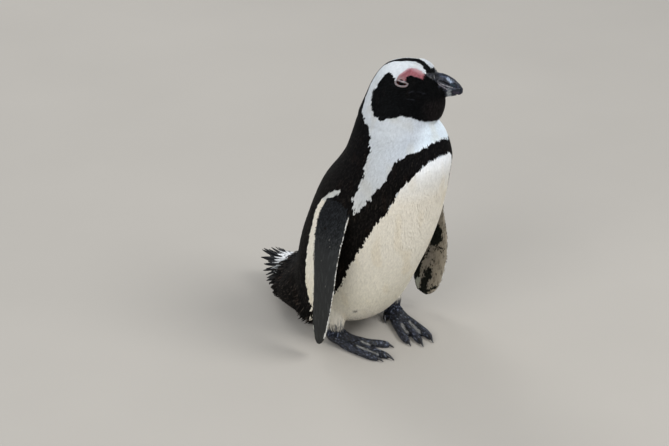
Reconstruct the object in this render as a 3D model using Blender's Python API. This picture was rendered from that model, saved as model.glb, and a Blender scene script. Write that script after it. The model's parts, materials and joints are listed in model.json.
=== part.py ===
"""African penguin, adult, life size, standing at rest with the head turned to its left.

The bird faces -Y with +Z up, so its left is +X. It stands on the soles of both feet and on the
underside of the rump. Run it with: blender --background --python part.py
"""

import math

import bmesh
import bpy
from mathutils import Matrix, Vector

# ---------------------------------------------------------------- driving dimensions, in metres
GAP = 0.0004            # clearance between pieces that meet
RING_POINTS = 32        # points round each section of the body
BODY_STEPS = 2          # sections for each pair of body stations
HEAD_STEPS = 3          # the same, over the head

# The body is a row of sections across the mid-plane, from the tail root over the back to the bill.
# Each station: back point and front point as (forward, height), half-width, share of the head's
# turn, and how round the section is (1 is an ellipse, less is boxier).
RUMP_STATIONS = (
    ((-0.162, 0.060), (-0.161, 0.021), 0.040, 0.0, 1.0),
    ((-0.146, 0.073), (-0.147, 0.005), 0.058, 0.0, 1.0),
    ((-0.129, 0.083), (-0.117, -0.001), 0.069, 0.0, 1.0),
    ((-0.117, 0.093), (-0.075, -0.001), 0.072, 0.0, 1.0),
)
TRUNK_STATIONS = (
    ((-0.110, 0.105), (-0.030, 0.012), 0.074, 0.0, 1.0),
    ((-0.107, 0.121), (0.006, 0.028), 0.080, 0.0, 1.0),
    ((-0.104, 0.138), (0.039, 0.066), 0.0850, 0.0, 1.0),
    ((-0.0970, 0.160), (0.0665, 0.114), 0.0885, 0.0, 1.0),
    ((-0.0865, 0.184), (0.0855, 0.156), 0.0890, 0.0, 1.0),
    ((-0.0745, 0.212), (0.0970, 0.194), 0.0870, 0.0, 1.0),
    ((-0.0585, 0.242), (0.1065, 0.232), 0.0825, 0.0, 1.0),
    ((-0.0370, 0.268), (0.1140, 0.262), 0.0750, 0.05, 1.0),
)
NECK_STATIONS = (
    ((-0.0235, 0.290), (0.1205, 0.286), 0.068, 0.2, 1.0),
    ((-0.0180, 0.308), (0.1165, 0.305), 0.061, 0.45, 1.0),
    ((-0.0130, 0.324), (0.1095, 0.3200), 0.054, 0.7, 1.0),
)
HEAD_STATIONS = (
    ((-0.0090, 0.339), (0.1000, 0.3310), 0.0465, 0.9, 0.97),
    ((0.0005, 0.362), (0.0975, 0.3340), 0.0400, 1.0, 0.93),
    ((0.0115, 0.3880), (0.0970, 0.3355), 0.0345, 1.0, 0.88),
    ((0.0270, 0.4080), (0.0970, 0.3365), 0.0315, 1.0, 0.84),
    ((0.0480, 0.4163), (0.1000, 0.3395), 0.0290, 1.0, 0.82),
    ((0.0680, 0.4175), (0.1035, 0.3455), 0.0255, 1.0, 0.84),
    ((0.0830, 0.4130), (0.1065, 0.3560), 0.0200, 1.0, 0.90),
    ((0.0920, 0.4060), (0.1070, 0.3680), 0.0140, 1.0, 0.97),
)
# How much slimmer the front of a section is than its back, by the height of its front point.
FRONT_SLIMMING = ((0.012, 0.0), (0.040, 0.06), (0.066, 0.14), (0.114, 0.26), (0.156, 0.18),
                  (0.194, 0.06), (0.232, 0.0))
HEAD_TURN = math.radians(28)      # about the neck, to the bird's left
NECK_AXIS_FORWARD = 0.040         # where that turn's upright axis stands

# The bill, before the head's turn: forward, heights of ridge, cutting edge and underside, half-widths
# of the upper and the lower half.
BILL_STATIONS = (
    (0.0840, 0.4035, 0.3835, 0.3700, 0.0110, 0.0100),
    (0.0930, 0.4050, 0.3840, 0.3705, 0.0105, 0.0098),
    (0.1010, 0.4050, 0.3845, 0.3715, 0.0094, 0.0088),
    (0.1090, 0.4035, 0.3842, 0.3738, 0.0082, 0.0075),
    (0.1165, 0.4005, 0.3832, 0.3755, 0.0070, 0.0060),
    (0.1225, 0.3962, 0.3815, 0.3778, 0.0054, 0.0042),
)
BILL_HOOK = ((0.1275, 0.3922, 0.3800, 0.0038), (0.1306, 0.3880, 0.3818, 0.0018))
BILL_POINTS = 10

EYE_RADIUS = 0.0080
EYE_FORWARD, EYE_HEIGHT, EYE_SIDE = 0.0562, 0.3925, 0.0203    # centre, before the head's turn

# Flippers, from the shoulder to the tip: side, forward, height, chord, thickness, and the turn of
# the leading edge outwards in degrees.
RIGHT_FLIPPER = (
    (0.0630, 0.0200, 0.2480, 0.0340, 0.0200, 0.0),
    (0.0815, 0.0215, 0.2255, 0.0460, 0.0180, -8.0),
    (0.0940, 0.0215, 0.1980, 0.0510, 0.0135, -6.0),
    (0.1015, 0.0210, 0.1600, 0.0530, 0.0110, 4.0),
    (0.1035, 0.0195, 0.1220, 0.0525, 0.0095, 9.0),
    (0.1035, 0.0150, 0.0860, 0.0475, 0.0080, 11.0),
    (0.1020, 0.0085, 0.0520, 0.0390, 0.0066, 11.0),
    (0.1000, 0.0025, 0.0310, 0.0250, 0.0052, 11.0),
    (0.0990, -0.0010, 0.0215, 0.0080, 0.0032, 11.0),
)
LEFT_FLIPPER = (
    (0.0630, 0.0200, 0.2480, 0.0340, 0.0200, 0.0),
    (0.0815, 0.0170, 0.2255, 0.0460, 0.0180, -5.0),
    (0.0935, 0.0100, 0.1980, 0.0510, 0.0135, 0.0),
    (0.0995, 0.0045, 0.1600, 0.0530, 0.0110, 8.0),
    (0.1035, 0.0060, 0.1220, 0.0525, 0.0095, 16.0),
    (0.1058, 0.0028, 0.0860, 0.0515, 0.0080, 20.0),
    (0.1060, -0.0032, 0.0520, 0.0460, 0.0066, 21.0),
    (0.1043, -0.0080, 0.0335, 0.0345, 0.0054, 21.0),
    (0.1033, -0.0125, 0.0235, 0.0165, 0.0034, 21.0),
)
FLIPPER_POINTS = 14
FLIPPER_ROOM = 0.0010            # clearance round a flipper's root, whose faces are twisted

# Tail fan
TAIL_FEATHERS = 13
TAIL_SPREAD = math.radians(116)
TAIL_ROOT = (-0.135, 0.046)       # forward, height
TAIL_ROOT_RADIUS, TAIL_LENGTH, TAIL_SIDE_LENGTH = 0.020, 0.073, 0.033
TAIL_NOTCH = 0.76                 # how far out the notches between feather ends lie
TAIL_ROOT_HALF, TAIL_TIP_HALF = 0.0042, 0.0006
TAIL_DROOP = 17.0                 # how the sides of the fan hang, as height over side squared

# Legs and feet. A foot's own plan has u forwards from the heel and v outwards.
HEEL_SIDE, HEEL_FORWARD = 0.055, -0.025
TOE_IN = math.radians(14)
LEG_ROWS = (                      # height, u, half-width, half-length
    (0.0130, 0.0100, 0.0085, 0.0095),
    (0.0220, 0.0090, 0.0105, 0.0125),
    (0.0320, 0.0080, 0.0125, 0.0150),
    (0.0560, 0.0020, 0.0150, 0.0180),
)
LEG_POINTS = 16
RIGHT_TOES = {                    # each toe's middle line from its root to the claw's tip, as (u, v)
    "inner": ((0.026, -0.006), (0.048, -0.014), (0.068, -0.0225), (0.086, -0.0290)),
    "middle": ((0.026, 0.000), (0.052, 0.000), (0.080, 0.000), (0.1055, 0.000)),
    "outer": ((0.026, 0.007), (0.050, 0.0125), (0.074, 0.0135), (0.0960, 0.0115)),
}
LEFT_TOES = {
    "inner": ((0.026, -0.006), (0.050, -0.0135), (0.074, -0.0180), (0.0960, -0.0185)),
    "middle": ((0.026, 0.000), (0.052, 0.000), (0.080, -0.002), (0.1055, -0.0045)),
    "outer": ((0.026, 0.007), (0.050, 0.0130), (0.076, 0.0150), (0.1015, 0.0130)),
}
HIND_TOE = ((0.004, -0.007), (0.010, -0.013), (0.016, -0.0165), (0.0225, -0.0185))
CLAW_LENGTH, HIND_CLAW_LENGTH = 0.0125, 0.0070
CLAW_WIDTH, CLAW_HEIGHT = 0.0026, 0.0031
CLAW_CLEAR = 0.0006               # how far the claws stay above the floor
FOOT_VOXEL = 0.0015
FOOT_SHARE = 0.065                # of its triangles kept by each foot


def clear_scene():
    for obj in list(bpy.data.objects):
        bpy.data.objects.remove(obj)


def material(name, colour, roughness):
    made = bpy.data.materials.new(name)
    made.use_nodes = True
    shader = made.node_tree.nodes["Principled BSDF"]
    shader.inputs["Base Color"].default_value = (*colour, 1.0)
    shader.inputs["Roughness"].default_value = roughness
    shader.inputs["Metallic"].default_value = 0.0
    return made


def add_object(name, bm, finish, stand):
    """Links a new object made from a bmesh, smooth-shaded, under the empty that places the bird."""
    mesh = bpy.data.meshes.new(name)
    bmesh.ops.recalc_face_normals(bm, faces=bm.faces)
    bm.to_mesh(mesh)
    bm.free()
    mesh.shade_smooth()
    mesh.materials.append(finish)
    obj = bpy.data.objects.new(name, mesh)
    obj.parent = stand
    bpy.context.collection.objects.link(obj)
    return obj


def add_cutter(name, bm, finish, stand):
    cutter = add_object(name, bm, finish, stand)
    cutter.hide_render = True
    cutter.display_type = "WIRE"
    return cutter


def cut(obj, cutter):
    """Takes the cutter's shape out of the object."""
    boolean = obj.modifiers.new("cut_" + cutter.name, "BOOLEAN")
    boolean.operation = "DIFFERENCE"
    boolean.solver = "EXACT"
    boolean.object = cutter


def merged(shapes):
    """One bmesh holding all the closed shapes, each facing outwards."""
    whole = bmesh.new()
    for shape in shapes:
        bmesh.ops.recalc_face_normals(shape, faces=shape.faces)
        mesh = bpy.data.meshes.new("shape")
        shape.to_mesh(mesh)
        shape.free()
        whole.from_mesh(mesh)
        bpy.data.meshes.remove(mesh)
    return whole


# ---------------------------------------------------------------- curves and lofts
def spline(before, start, end, after, share):
    """Catmull-Rom between start and end, number by number."""
    return tuple(
        0.5 * (2 * b + (c - a) * share + (2 * a - 5 * b + 4 * c - d) * share**2
               + (3 * b - a - 3 * c + d) * share**3)
        for a, b, c, d in zip(before, start, end, after)
    )


def smooth_rows(rows, steps):
    """The rows with steps - 1 more between each two, on a smooth curve through them all."""
    made = []
    for i in range(len(rows) - 1):
        before, after = rows[max(i - 1, 0)], rows[min(i + 2, len(rows) - 1)]
        for step in range(steps):
            made.append(spline(before, rows[i], rows[i + 1], after, step / steps))
    made.append(rows[-1])
    return made


def loft(rings):
    """A closed bmesh drawn through the rings, each a list of points, with a flat cap at both ends."""
    bm = bmesh.new()
    bmesh.ops.create_circle(bm, cap_ends=True, segments=len(rings[0]), radius=1.0)
    face = bm.faces[:][0]
    for vert, point in zip(face.verts, rings[0]):
        vert.co = point
    for ring in rings[1:]:
        face = bmesh.ops.extrude_discrete_faces(bm, faces=[face])["faces"][0]
        for vert, point in zip(face.verts, ring):
            vert.co = point
    bmesh.ops.holes_fill(bm, edges=[edge for edge in bm.edges if edge.is_boundary], sides=0)
    return bm


# ---------------------------------------------------------------- body
def turn_head(point, share):
    """A (side, forward, height) point turned with the head, as a vector with forward along -Y."""
    pivot = Vector((0, -NECK_AXIS_FORWARD, 0))
    straight = Vector((point[0], -point[1], point[2]))
    return Matrix.Rotation(HEAD_TURN * share, 3, "Z") @ (straight - pivot) + pivot


def boxy(value, power):
    return math.copysign(abs(value) ** power, value)


def looked_up(value, rows):
    """A number read off rows of (at, number), in rising order, straight between them."""
    if value <= rows[0][0]:
        return rows[0][1]
    for (low, first), (high, second) in zip(rows, rows[1:]):
        if value <= high:
            return first + (second - first) * (value - low) / (high - low)
    return rows[-1][1]


def body_ring(row, extra=0.0):
    """The section of one row: back (f, z), front (f, z), half-width, share of the head's turn."""
    back_f, back_z, front_f, front_z, half_width, share, power = row
    length = math.hypot(front_f - back_f, front_z - back_z)
    slimming = looked_up(front_z, FRONT_SLIMMING)
    ring = []
    for i in range(RING_POINTS):
        angle = 2 * math.pi * i / RING_POINTS
        along = 0.5 - (0.5 + extra / length) * boxy(math.cos(angle), power)
        width = (half_width + extra) * (1 - slimming * max(0.0, min(2 * along - 1, 1.0)))
        point = (width * boxy(math.sin(angle), power),
                 back_f + (front_f - back_f) * along,
                 back_z + (front_z - back_z) * along)
        ring.append(turn_head(point, share))
    return ring


def body_rows():
    """Every section's row, as a dictionary of node name to rows; neighbours share their cut."""
    named = (("rump", RUMP_STATIONS), ("trunk", TRUNK_STATIONS), ("neck", NECK_STATIONS),
             ("head", HEAD_STATIONS))
    stations = [(*back, *front, width, share, power)
                for _, group in named for back, front, width, share, power in group]
    dense = smooth_rows(stations, BODY_STEPS * HEAD_STEPS)
    rows, first = {}, 0
    for name, group in named:
        step = BODY_STEPS if name == "head" else HEAD_STEPS
        last = min(first + len(group) * BODY_STEPS * HEAD_STEPS, len(dense) - 1)
        rows[name] = dense[first:last + 1:step]
        first = last
    return rows


def body_part(rows, gap_at_start):
    """One length of the body. Its first section stands back from the neighbour by the gap."""
    rings = [body_ring(row) for row in rows]
    if gap_at_start:
        first, quarter, half = rings[0][0], rings[0][RING_POINTS // 4], rings[0][RING_POINTS // 2]
        shift = (quarter - first).cross(half - first).normalized() * GAP
        if shift.dot(rings[1][0] + rings[1][RING_POINTS // 2] - first - half) < 0:
            shift.negate()
        rings[0] = [point + shift for point in rings[0]]
    return loft(rings)


# ---------------------------------------------------------------- bill and eyes
def arch(forward, edge, peak, half_width):
    """A D-shaped section: flat along the cutting edge, arched towards the peak height."""
    ring = []
    for i in range(BILL_POINTS):
        angle = math.pi * i / (BILL_POINTS - 1)
        point = (half_width * math.cos(angle), forward, edge + (peak - edge) * math.sin(angle) ** 0.85)
        ring.append(turn_head(point, 1.0))
    return ring


def bill_upper():
    rows = [(f, edge + GAP / 2, ridge, width) for f, ridge, edge, _, width, _ in BILL_STATIONS]
    rows += [(f, edge, ridge, width) for f, ridge, edge, width in BILL_HOOK]
    return loft([arch(*row) for row in smooth_rows(rows, 2)])


def bill_lower():
    rows = [(f, edge - GAP / 2, under, width) for f, _, edge, under, _, width in BILL_STATIONS]
    return loft([arch(*row) for row in smooth_rows(rows, 2)])


def bill_socket():
    """The room in the face for the root of both halves of the bill."""
    rings = []
    for f, ridge, edge, under, wide, narrow in smooth_rows(BILL_STATIONS, 2):
        upper = arch(f, edge, ridge + GAP, wide + GAP)
        lower = arch(f, edge, under - GAP, narrow + GAP)
        rings.append(upper + lower[-2:0:-1])
    rings[0] = [point + turn_head((0, NECK_AXIS_FORWARD - GAP, 0), 1.0)
                - turn_head((0, NECK_AXIS_FORWARD, 0), 1.0) for point in rings[0]]
    return loft(rings)


def eye_ball(side, radius):
    bm = bmesh.new()
    centre = turn_head((side * EYE_SIDE, EYE_FORWARD, EYE_HEIGHT), 1.0)
    bmesh.ops.create_uvsphere(bm, u_segments=12, v_segments=8, radius=radius,
                              matrix=Matrix.Translation(centre))
    return bm


# ---------------------------------------------------------------- flippers and tail
def flipper(stations, side, extra=0.0):
    """A flipper, thick at the leading edge and thin at the trailing one; side is -1 for the right."""
    rows = smooth_rows(stations, 2)
    centres = [Vector((side * row[0], -row[1], row[2])) for row in rows]
    rings = []
    for i, (_, _, _, chord, thick, turn) in enumerate(rows):
        down = (centres[min(i + 1, len(rows) - 1)] - centres[max(i - 1, 0)]).normalized()
        swing = math.radians(turn)
        leading = Vector((side * math.sin(swing), -math.cos(swing), 0))
        leading = (leading - down * leading.dot(down)).normalized()
        out = leading.cross(down) * side
        ring = []
        for k in range(FLIPPER_POINTS):
            angle = 2 * math.pi * k / FLIPPER_POINTS
            swell = thick / 2 * (0.72 + 0.28 * math.cos(angle)) + extra
            ring.append(centres[i] + leading * (chord / 2 + extra) * math.cos(angle)
                        + out * swell * math.sin(angle))
        rings.append(ring)
    start = (centres[0] - centres[1]).normalized() * extra
    end = (centres[-1] - centres[-2]).normalized() * extra
    rings[0] = [point + start for point in rings[0]]
    rings[-1] = [point + end for point in rings[-1]]
    return loft(rings)


def tail_point(across, along, layer):
    """A point of the fan: across its width and along a feather from 0 to 1, on the upper or lower face."""
    column = round(across * 2 * TAIL_FEATHERS)
    swing = TAIL_SPREAD * (across - 0.5)
    middle = 1 - abs(2 * across - 1)
    length = TAIL_SIDE_LENGTH + (TAIL_LENGTH - TAIL_SIDE_LENGTH) * middle**1.15
    on_shaft = column % 2 == 1
    share = along if on_shaft else along * TAIL_NOTCH
    reach = TAIL_ROOT_RADIUS + share * length
    half = (TAIL_ROOT_HALF * (1 - along) + TAIL_TIP_HALF) * (1.25 if on_shaft else 0.75)
    side = reach * math.sin(swing)
    root_forward, root_height = TAIL_ROOT
    height = root_height - TAIL_DROOP * side * side + layer * half
    return Vector((side, reach * math.cos(swing) - root_forward, height))


def tail_fan():
    """A fan of pointed stiff feathers, joined along their length, its sides hanging."""
    bm = bmesh.new()
    bmesh.ops.create_grid(bm, x_segments=2 * TAIL_FEATHERS, y_segments=3, size=0.5)
    lower = list(bm.verts)
    lifted = bmesh.ops.extrude_face_region(bm, geom=list(bm.faces))["geom"]
    upper = [item for item in lifted if isinstance(item, bmesh.types.BMVert)]
    for layer, verts in ((-1, lower), (1, upper)):
        for vert in verts:
            vert.co = tail_point(vert.co.x + 0.5, vert.co.y + 0.5, layer)
    return bm


# ---------------------------------------------------------------- legs, feet and claws
def foot_place(side, u, v, height):
    """A point of a foot from its own plan, as the foot points inwards a little."""
    forward = HEEL_FORWARD + u * math.cos(TOE_IN) + v * math.sin(TOE_IN)
    out = HEEL_SIDE - u * math.sin(TOE_IN) + v * math.cos(TOE_IN)
    return Vector((side * out, -forward, height))


def leg(side, extra=0.0):
    rings = []
    for height, u, half_width, half_length in smooth_rows(LEG_ROWS, 2):
        ring = []
        for k in range(LEG_POINTS):
            angle = 2 * math.pi * k / LEG_POINTS
            ring.append(foot_place(side, u + (half_length + extra) * math.cos(angle),
                                   (half_width + extra) * math.sin(angle), height))
        rings.append(ring)
    rings[0] = [point - Vector((0, 0, extra)) for point in rings[0]]
    rings[-1] = [point + Vector((0, 0, extra)) for point in rings[-1]]
    return loft(rings)


def tube(side, rows, points=10):
    """A tapered limb of the foot along rows of (u, v, height, half-width, half-height)."""
    rings = []
    for i, (u, v, height, half_width, half_height) in enumerate(rows):
        u0, v0 = rows[max(i - 1, 0)][:2]
        u1, v1 = rows[min(i + 1, len(rows) - 1)][:2]
        heading = math.atan2(v1 - v0, u1 - u0)
        ring = []
        for k in range(points):
            angle = 2 * math.pi * k / points
            across = half_width * math.cos(angle)
            ring.append(foot_place(side, u - across * math.sin(heading), v + across * math.cos(heading),
                                   height + half_height * math.sin(angle)))
        rings.append(ring)
    return loft(rings)


def split_at_claw(line, claw_length):
    """The toe's own rows (u, v) and the claw's, where the last of the line's length is claw."""
    rows = smooth_rows(line, 5)
    lengths = [0.0]
    for (u0, v0), (u1, v1) in zip(rows, rows[1:]):
        lengths.append(lengths[-1] + math.hypot(u1 - u0, v1 - v0))
    start = next(i for i, run in enumerate(lengths) if run > lengths[-1] - claw_length)
    return rows[:start + 1], rows[start - 1:]


def toe(side, line, claw_length, size):
    flesh = split_at_claw(line, claw_length)[0][::2]
    rows = []
    for i, (u, v) in enumerate(flesh):
        share = i / (len(flesh) - 1)
        swell = 1 + 0.10 * math.sin(share * 9.0)
        rows.append((u, v, 0.0052 - 0.0010 * share, size * (0.0064 - 0.0016 * share) * swell,
                     size * (0.0070 - 0.0018 * share) * swell))
    u, v = flesh[-1]
    back_u, back_v = flesh[-2]
    rows.append((u + (u - back_u) * 0.5, v + (v - back_v) * 0.5, 0.0040, 0.0034 * size, 0.0036 * size))
    return tube(side, rows)


def claw(side, line, claw_length, extra=0.0):
    """A curved claw that starts inside the toe's end and stops just above the floor."""
    path = split_at_claw(line, claw_length)[1]
    rows = []
    for i, (u, v) in enumerate(path):
        share = i / (len(path) - 1)
        high = CLAW_HEIGHT * (1 - share) ** 0.8 + 0.0005
        height = CLAW_CLEAR + high + 0.0022 * (1 - share**1.6)
        rows.append((u, v, height, CLAW_WIDTH * (1 - share) ** 0.8 + 0.0004 + extra, high + extra))
    if extra:
        (u0, v0, *rest), (u1, v1, *_) = rows[0], rows[1]
        step = math.hypot(u1 - u0, v1 - v0)
        rows[0] = (u0 - (u1 - u0) * extra / step, v0 - (v1 - v0) * extra / step, *rest)
    return tube(side, rows, 8)


def web(side, line, neighbour, reach):
    """The thin skin between two toes, drawn back between their ends."""
    near, far = smooth_rows(line, 4), smooth_rows(neighbour, 4)
    count = int(len(near) * reach)
    rings = []
    for (u0, v0), (u1, v1) in list(zip(near, far))[:count]:
        rings.append([foot_place(side, u0, v0, 0.0062), foot_place(side, (u0 + u1) / 2, (v0 + v1) / 2, 0.0048),
                      foot_place(side, u1, v1, 0.0062), foot_place(side, u1, v1, 0.0008),
                      foot_place(side, u0, v0, 0.0008)])
    return loft(rings)


def foot(side, toes):
    shapes = [tube(side, ((-0.004, 0, 0.0110, 0.0065, 0.0065), (0.002, 0, 0.0100, 0.0100, 0.0110),
                          (0.012, 0, 0.0100, 0.0122, 0.0120), (0.024, 0, 0.0080, 0.0135, 0.0100),
                          (0.036, 0, 0.0065, 0.0145, 0.0070), (0.046, 0, 0.0050, 0.0120, 0.0050)), 14)]
    for line in toes.values():
        shapes.append(toe(side, line, CLAW_LENGTH, 1.0))
    shapes.append(toe(side, HIND_TOE, HIND_CLAW_LENGTH, 0.62))
    shapes.append(web(side, toes["inner"], toes["middle"], 0.66))
    shapes.append(web(side, toes["middle"], toes["outer"], 0.70))
    return merged(shapes)


def claws(side, toes, extra=0.0):
    """Every claw of a foot, as a dictionary of toe name to bmesh."""
    made = {name: claw(side, line, CLAW_LENGTH, extra) for name, line in toes.items()}
    made["hind"] = claw(side, HIND_TOE, HIND_CLAW_LENGTH, extra)
    return made


def floor_block():
    bm = bmesh.new()
    size = Matrix.Diagonal((0.40, 0.50, 0.04, 1.0))
    bmesh.ops.create_cube(bm, size=1.0, matrix=Matrix.Translation((0, 0, -0.02)) @ size)
    return bm


def finish_foot(obj):
    """Joins the foot's limbs into one smooth body."""
    remesh = obj.modifiers.new("join", "REMESH")
    remesh.mode = "VOXEL"
    remesh.voxel_size = FOOT_VOXEL
    remesh.use_smooth_shade = True
    smooth = obj.modifiers.new("smooth", "SMOOTH")
    smooth.iterations = 3
    fewer = obj.modifiers.new("fewer", "DECIMATE")
    fewer.ratio = FOOT_SHARE


def stand_on_origin(stand, pieces):
    """Moves the bird so that the middle of its box is over the origin, with its soles at height 0."""
    graph = bpy.context.evaluated_depsgraph_get()
    corners = []
    for piece in pieces:
        solved = piece.evaluated_get(graph)
        corners += [piece.matrix_world @ vertex.co for vertex in solved.data.vertices]
    for axis in (0, 1):
        values = [corner[axis] for corner in corners]
        stand.location[axis] = -(min(values) + max(values)) / 2
    bpy.context.view_layer.update()


def main():
    clear_scene()
    stand = bpy.data.objects.new("stand_point", None)
    bpy.context.collection.objects.link(stand)
    dark = material("plumage_black", (0.02, 0.02, 0.022), 0.7)
    pale = material("plumage_white", (0.75, 0.74, 0.70), 0.7)
    horn = material("horn", (0.02, 0.02, 0.025), 0.35)
    skin = material("foot_skin", (0.05, 0.055, 0.065), 0.5)
    eye = material("eye", (0.02, 0.01, 0.01), 0.1)
    finishes = {"rump": dark, "trunk": pale, "neck": pale, "head": dark}

    pieces = {}
    for i, (name, rows) in enumerate(body_rows().items()):
        pieces[name] = add_object(name, body_part(rows, i > 0), finishes[name], stand)
    pieces["bill_upper"] = add_object("bill_upper", bill_upper(), horn, stand)
    pieces["bill_lower"] = add_object("bill_lower", bill_lower(), horn, stand)
    cut(pieces["head"], add_cutter("bill_socket", bill_socket(), horn, stand))

    floor = add_cutter("floor_block", floor_block(), skin, stand)
    sides = (("right", -1, RIGHT_TOES, RIGHT_FLIPPER), ("left", 1, LEFT_TOES, LEFT_FLIPPER))
    for name, side, toes, stations in sides:
        pieces["eye_" + name] = add_object("eye_" + name, eye_ball(side, EYE_RADIUS), eye, stand)
        cut(pieces["head"], add_cutter("eye_socket_" + name, eye_ball(side, EYE_RADIUS + GAP), eye, stand))
        wing = "flipper_" + name
        pieces[wing] = add_object(wing, flipper(stations, side), dark, stand)
        cut(pieces["trunk"], add_cutter(wing + "_room", flipper(stations, side, FLIPPER_ROOM), dark, stand))
        pieces["leg_" + name] = add_object("leg_" + name, leg(side), skin, stand)
        leg_room = add_cutter("leg_room_" + name, leg(side, GAP), skin, stand)
        cut(pieces["trunk"], leg_room)
        sole = pieces["foot_" + name] = add_object("foot_" + name, foot(side, toes), skin, stand)
        finish_foot(sole)
        cut(sole, leg_room)
        claw_room = merged(claws(side, toes, GAP).values())
        cut(sole, add_cutter("claw_room_" + name, claw_room, horn, stand))
        cut(sole, floor)
        for toe_name, shape in claws(side, toes).items():
            label = "claw_" + name + "_" + toe_name
            pieces[label] = add_object(label, shape, horn, stand)

    pieces["tail"] = add_object("tail", tail_fan(), dark, stand)
    rump_room = loft([body_ring(row, GAP) for row in body_rows()["rump"]])
    cut(pieces["tail"], add_cutter("rump_room", rump_room, dark, stand))
    cut(pieces["rump"], floor)
    cut(pieces["trunk"], floor)
    bpy.context.view_layer.update()
    stand_on_origin(stand, pieces.values())


main()
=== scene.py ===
"""A life-size African penguin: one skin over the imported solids, the plumage on it, bill, eyes, feet, tail."""
import json
import math

import bmesh
import bpy
import numpy as np
from mathutils import Matrix, Vector
from mathutils.bvhtree import BVHTree
from mathutils.kdtree import KDTree

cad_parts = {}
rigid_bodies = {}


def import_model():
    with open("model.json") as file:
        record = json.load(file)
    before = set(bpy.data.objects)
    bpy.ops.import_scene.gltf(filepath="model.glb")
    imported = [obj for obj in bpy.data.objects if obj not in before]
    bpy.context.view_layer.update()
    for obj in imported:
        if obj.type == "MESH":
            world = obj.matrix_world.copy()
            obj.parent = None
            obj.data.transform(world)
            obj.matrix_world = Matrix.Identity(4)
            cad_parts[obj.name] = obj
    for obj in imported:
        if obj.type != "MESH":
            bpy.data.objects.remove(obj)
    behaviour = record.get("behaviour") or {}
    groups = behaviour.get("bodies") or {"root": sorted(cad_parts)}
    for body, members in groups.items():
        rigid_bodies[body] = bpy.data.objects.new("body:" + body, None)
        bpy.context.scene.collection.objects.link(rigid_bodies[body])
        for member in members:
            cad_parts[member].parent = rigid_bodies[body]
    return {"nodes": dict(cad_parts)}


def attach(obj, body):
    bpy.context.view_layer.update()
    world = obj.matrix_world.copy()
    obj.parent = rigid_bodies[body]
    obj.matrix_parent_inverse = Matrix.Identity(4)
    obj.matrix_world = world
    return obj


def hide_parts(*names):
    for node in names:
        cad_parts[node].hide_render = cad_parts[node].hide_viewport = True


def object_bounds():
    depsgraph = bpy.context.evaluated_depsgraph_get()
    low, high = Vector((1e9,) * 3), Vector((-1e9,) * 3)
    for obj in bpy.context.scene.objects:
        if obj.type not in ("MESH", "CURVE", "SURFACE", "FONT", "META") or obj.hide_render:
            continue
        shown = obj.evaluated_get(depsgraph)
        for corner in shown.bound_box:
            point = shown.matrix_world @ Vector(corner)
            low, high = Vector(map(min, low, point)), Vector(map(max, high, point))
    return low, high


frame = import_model()
solid_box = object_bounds()
for obj in [obj for obj in bpy.data.objects if obj.name in ("Cube", "Light", "Camera")]:
    bpy.data.objects.remove(obj)     # what Blender itself may start with

# ------------------------------------------------------------------ the bird's own frame
# Side is to the bird's left, forward is where its trunk faces, and the origin is between its feet.
FEET_CENTRE = np.array((-0.00308, -0.05358, 0.0))
HEAD_TURN = math.radians(28)
NECK_AXIS_FORWARD = 0.040
TURN_HEIGHTS = (0.255, 0.268, 0.288, 0.306, 0.322, 0.335, 0.350)
TURN_SHARES = (0.0, 0.05, 0.2, 0.45, 0.7, 0.9, 1.0)
LEGS = ("leg_left", "leg_right")
FLIPPERS = ("flipper_left", "flipper_right")
FEET = ("foot_left", "foot_right")
BILL = ("bill_upper", "bill_lower")
FLESH = ("rump", "trunk", "neck", "head") + LEGS + FLIPPERS + FEET
NODES = FLESH + BILL + ("eye_left", "eye_right")     # bill and eyes sit in hollows of the flesh


def rotated(points, angles):
    """Points turned about the neck's upright axis, in side and forward."""
    across, ahead = points[:, 0], points[:, 1] - NECK_AXIS_FORWARD
    cos, sin = np.cos(angles), np.sin(angles)
    return np.stack((across * cos - ahead * sin, across * sin + ahead * cos + NECK_AXIS_FORWARD,
                     points[:, 2]), axis=1)


def turn_at(heights):
    """How far the neck and head are turned at those heights, in radians."""
    return HEAD_TURN * np.interp(heights, TURN_HEIGHTS, TURN_SHARES)


def to_bird(points):
    """Side, forward and height of points of the model, with the head's turn undone."""
    local = (np.asarray(points) - FEET_CENTRE) * (1, -1, 1)
    return rotated(local, turn_at(local[:, 2]))


def in_centimetres(points):
    """The bird's own side, forward and height of points of the model, in centimetres."""
    return to_bird(points) * 100


def to_model(points):
    """Points of the model from side, forward and height, with the head turned."""
    points = np.asarray(points, dtype=float).reshape(-1, 3)
    return rotated(points, -turn_at(points[:, 2])) * (1, -1, 1) + FEET_CENTRE


def turned_vectors(vectors, heights):
    """Directions of the bird's own frame at those heights, as directions in the model."""
    base = np.zeros_like(vectors)
    base[:, 1], base[:, 2] = NECK_AXIS_FORWARD, heights
    shifted = base + vectors
    angles = -turn_at(heights)
    return (rotated(shifted, angles) - rotated(base, angles)) * (1, -1, 1)


# ------------------------------------------------------------------ small tools
def are_in(nodes, *names):
    """Which points belong to the nodes of those names, from the number of each point's node."""
    return np.isin(nodes, [NODES.index(name) for name in names])


def linear(code):
    """A colour written as sRGB hex, in linear light."""
    parts = [int(code[i:i + 2], 16) / 255 for i in (1, 3, 5)]
    return np.array([c / 12.92 if c <= 0.04045 else ((c + 0.055) / 1.055) ** 2.4 for c in parts])


def plain(code, count):
    """So many times the same colour."""
    return np.tile(linear(code), (count, 1))


def rise(value, low, high):
    """0 below low, 1 above high and smooth between them."""
    share = np.clip((value - low) / (high - low), 0, 1)
    return share * share * (3 - 2 * share)


def blend(first, second, share):
    """Rows of values from the first towards the second, by each row's share."""
    return first + (second - first) * np.asarray(share)[:, None]


def unit(vectors):
    """Vectors made 1 long."""
    return vectors / np.maximum(np.linalg.norm(vectors, axis=1), 1e-9)[:, None]


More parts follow.
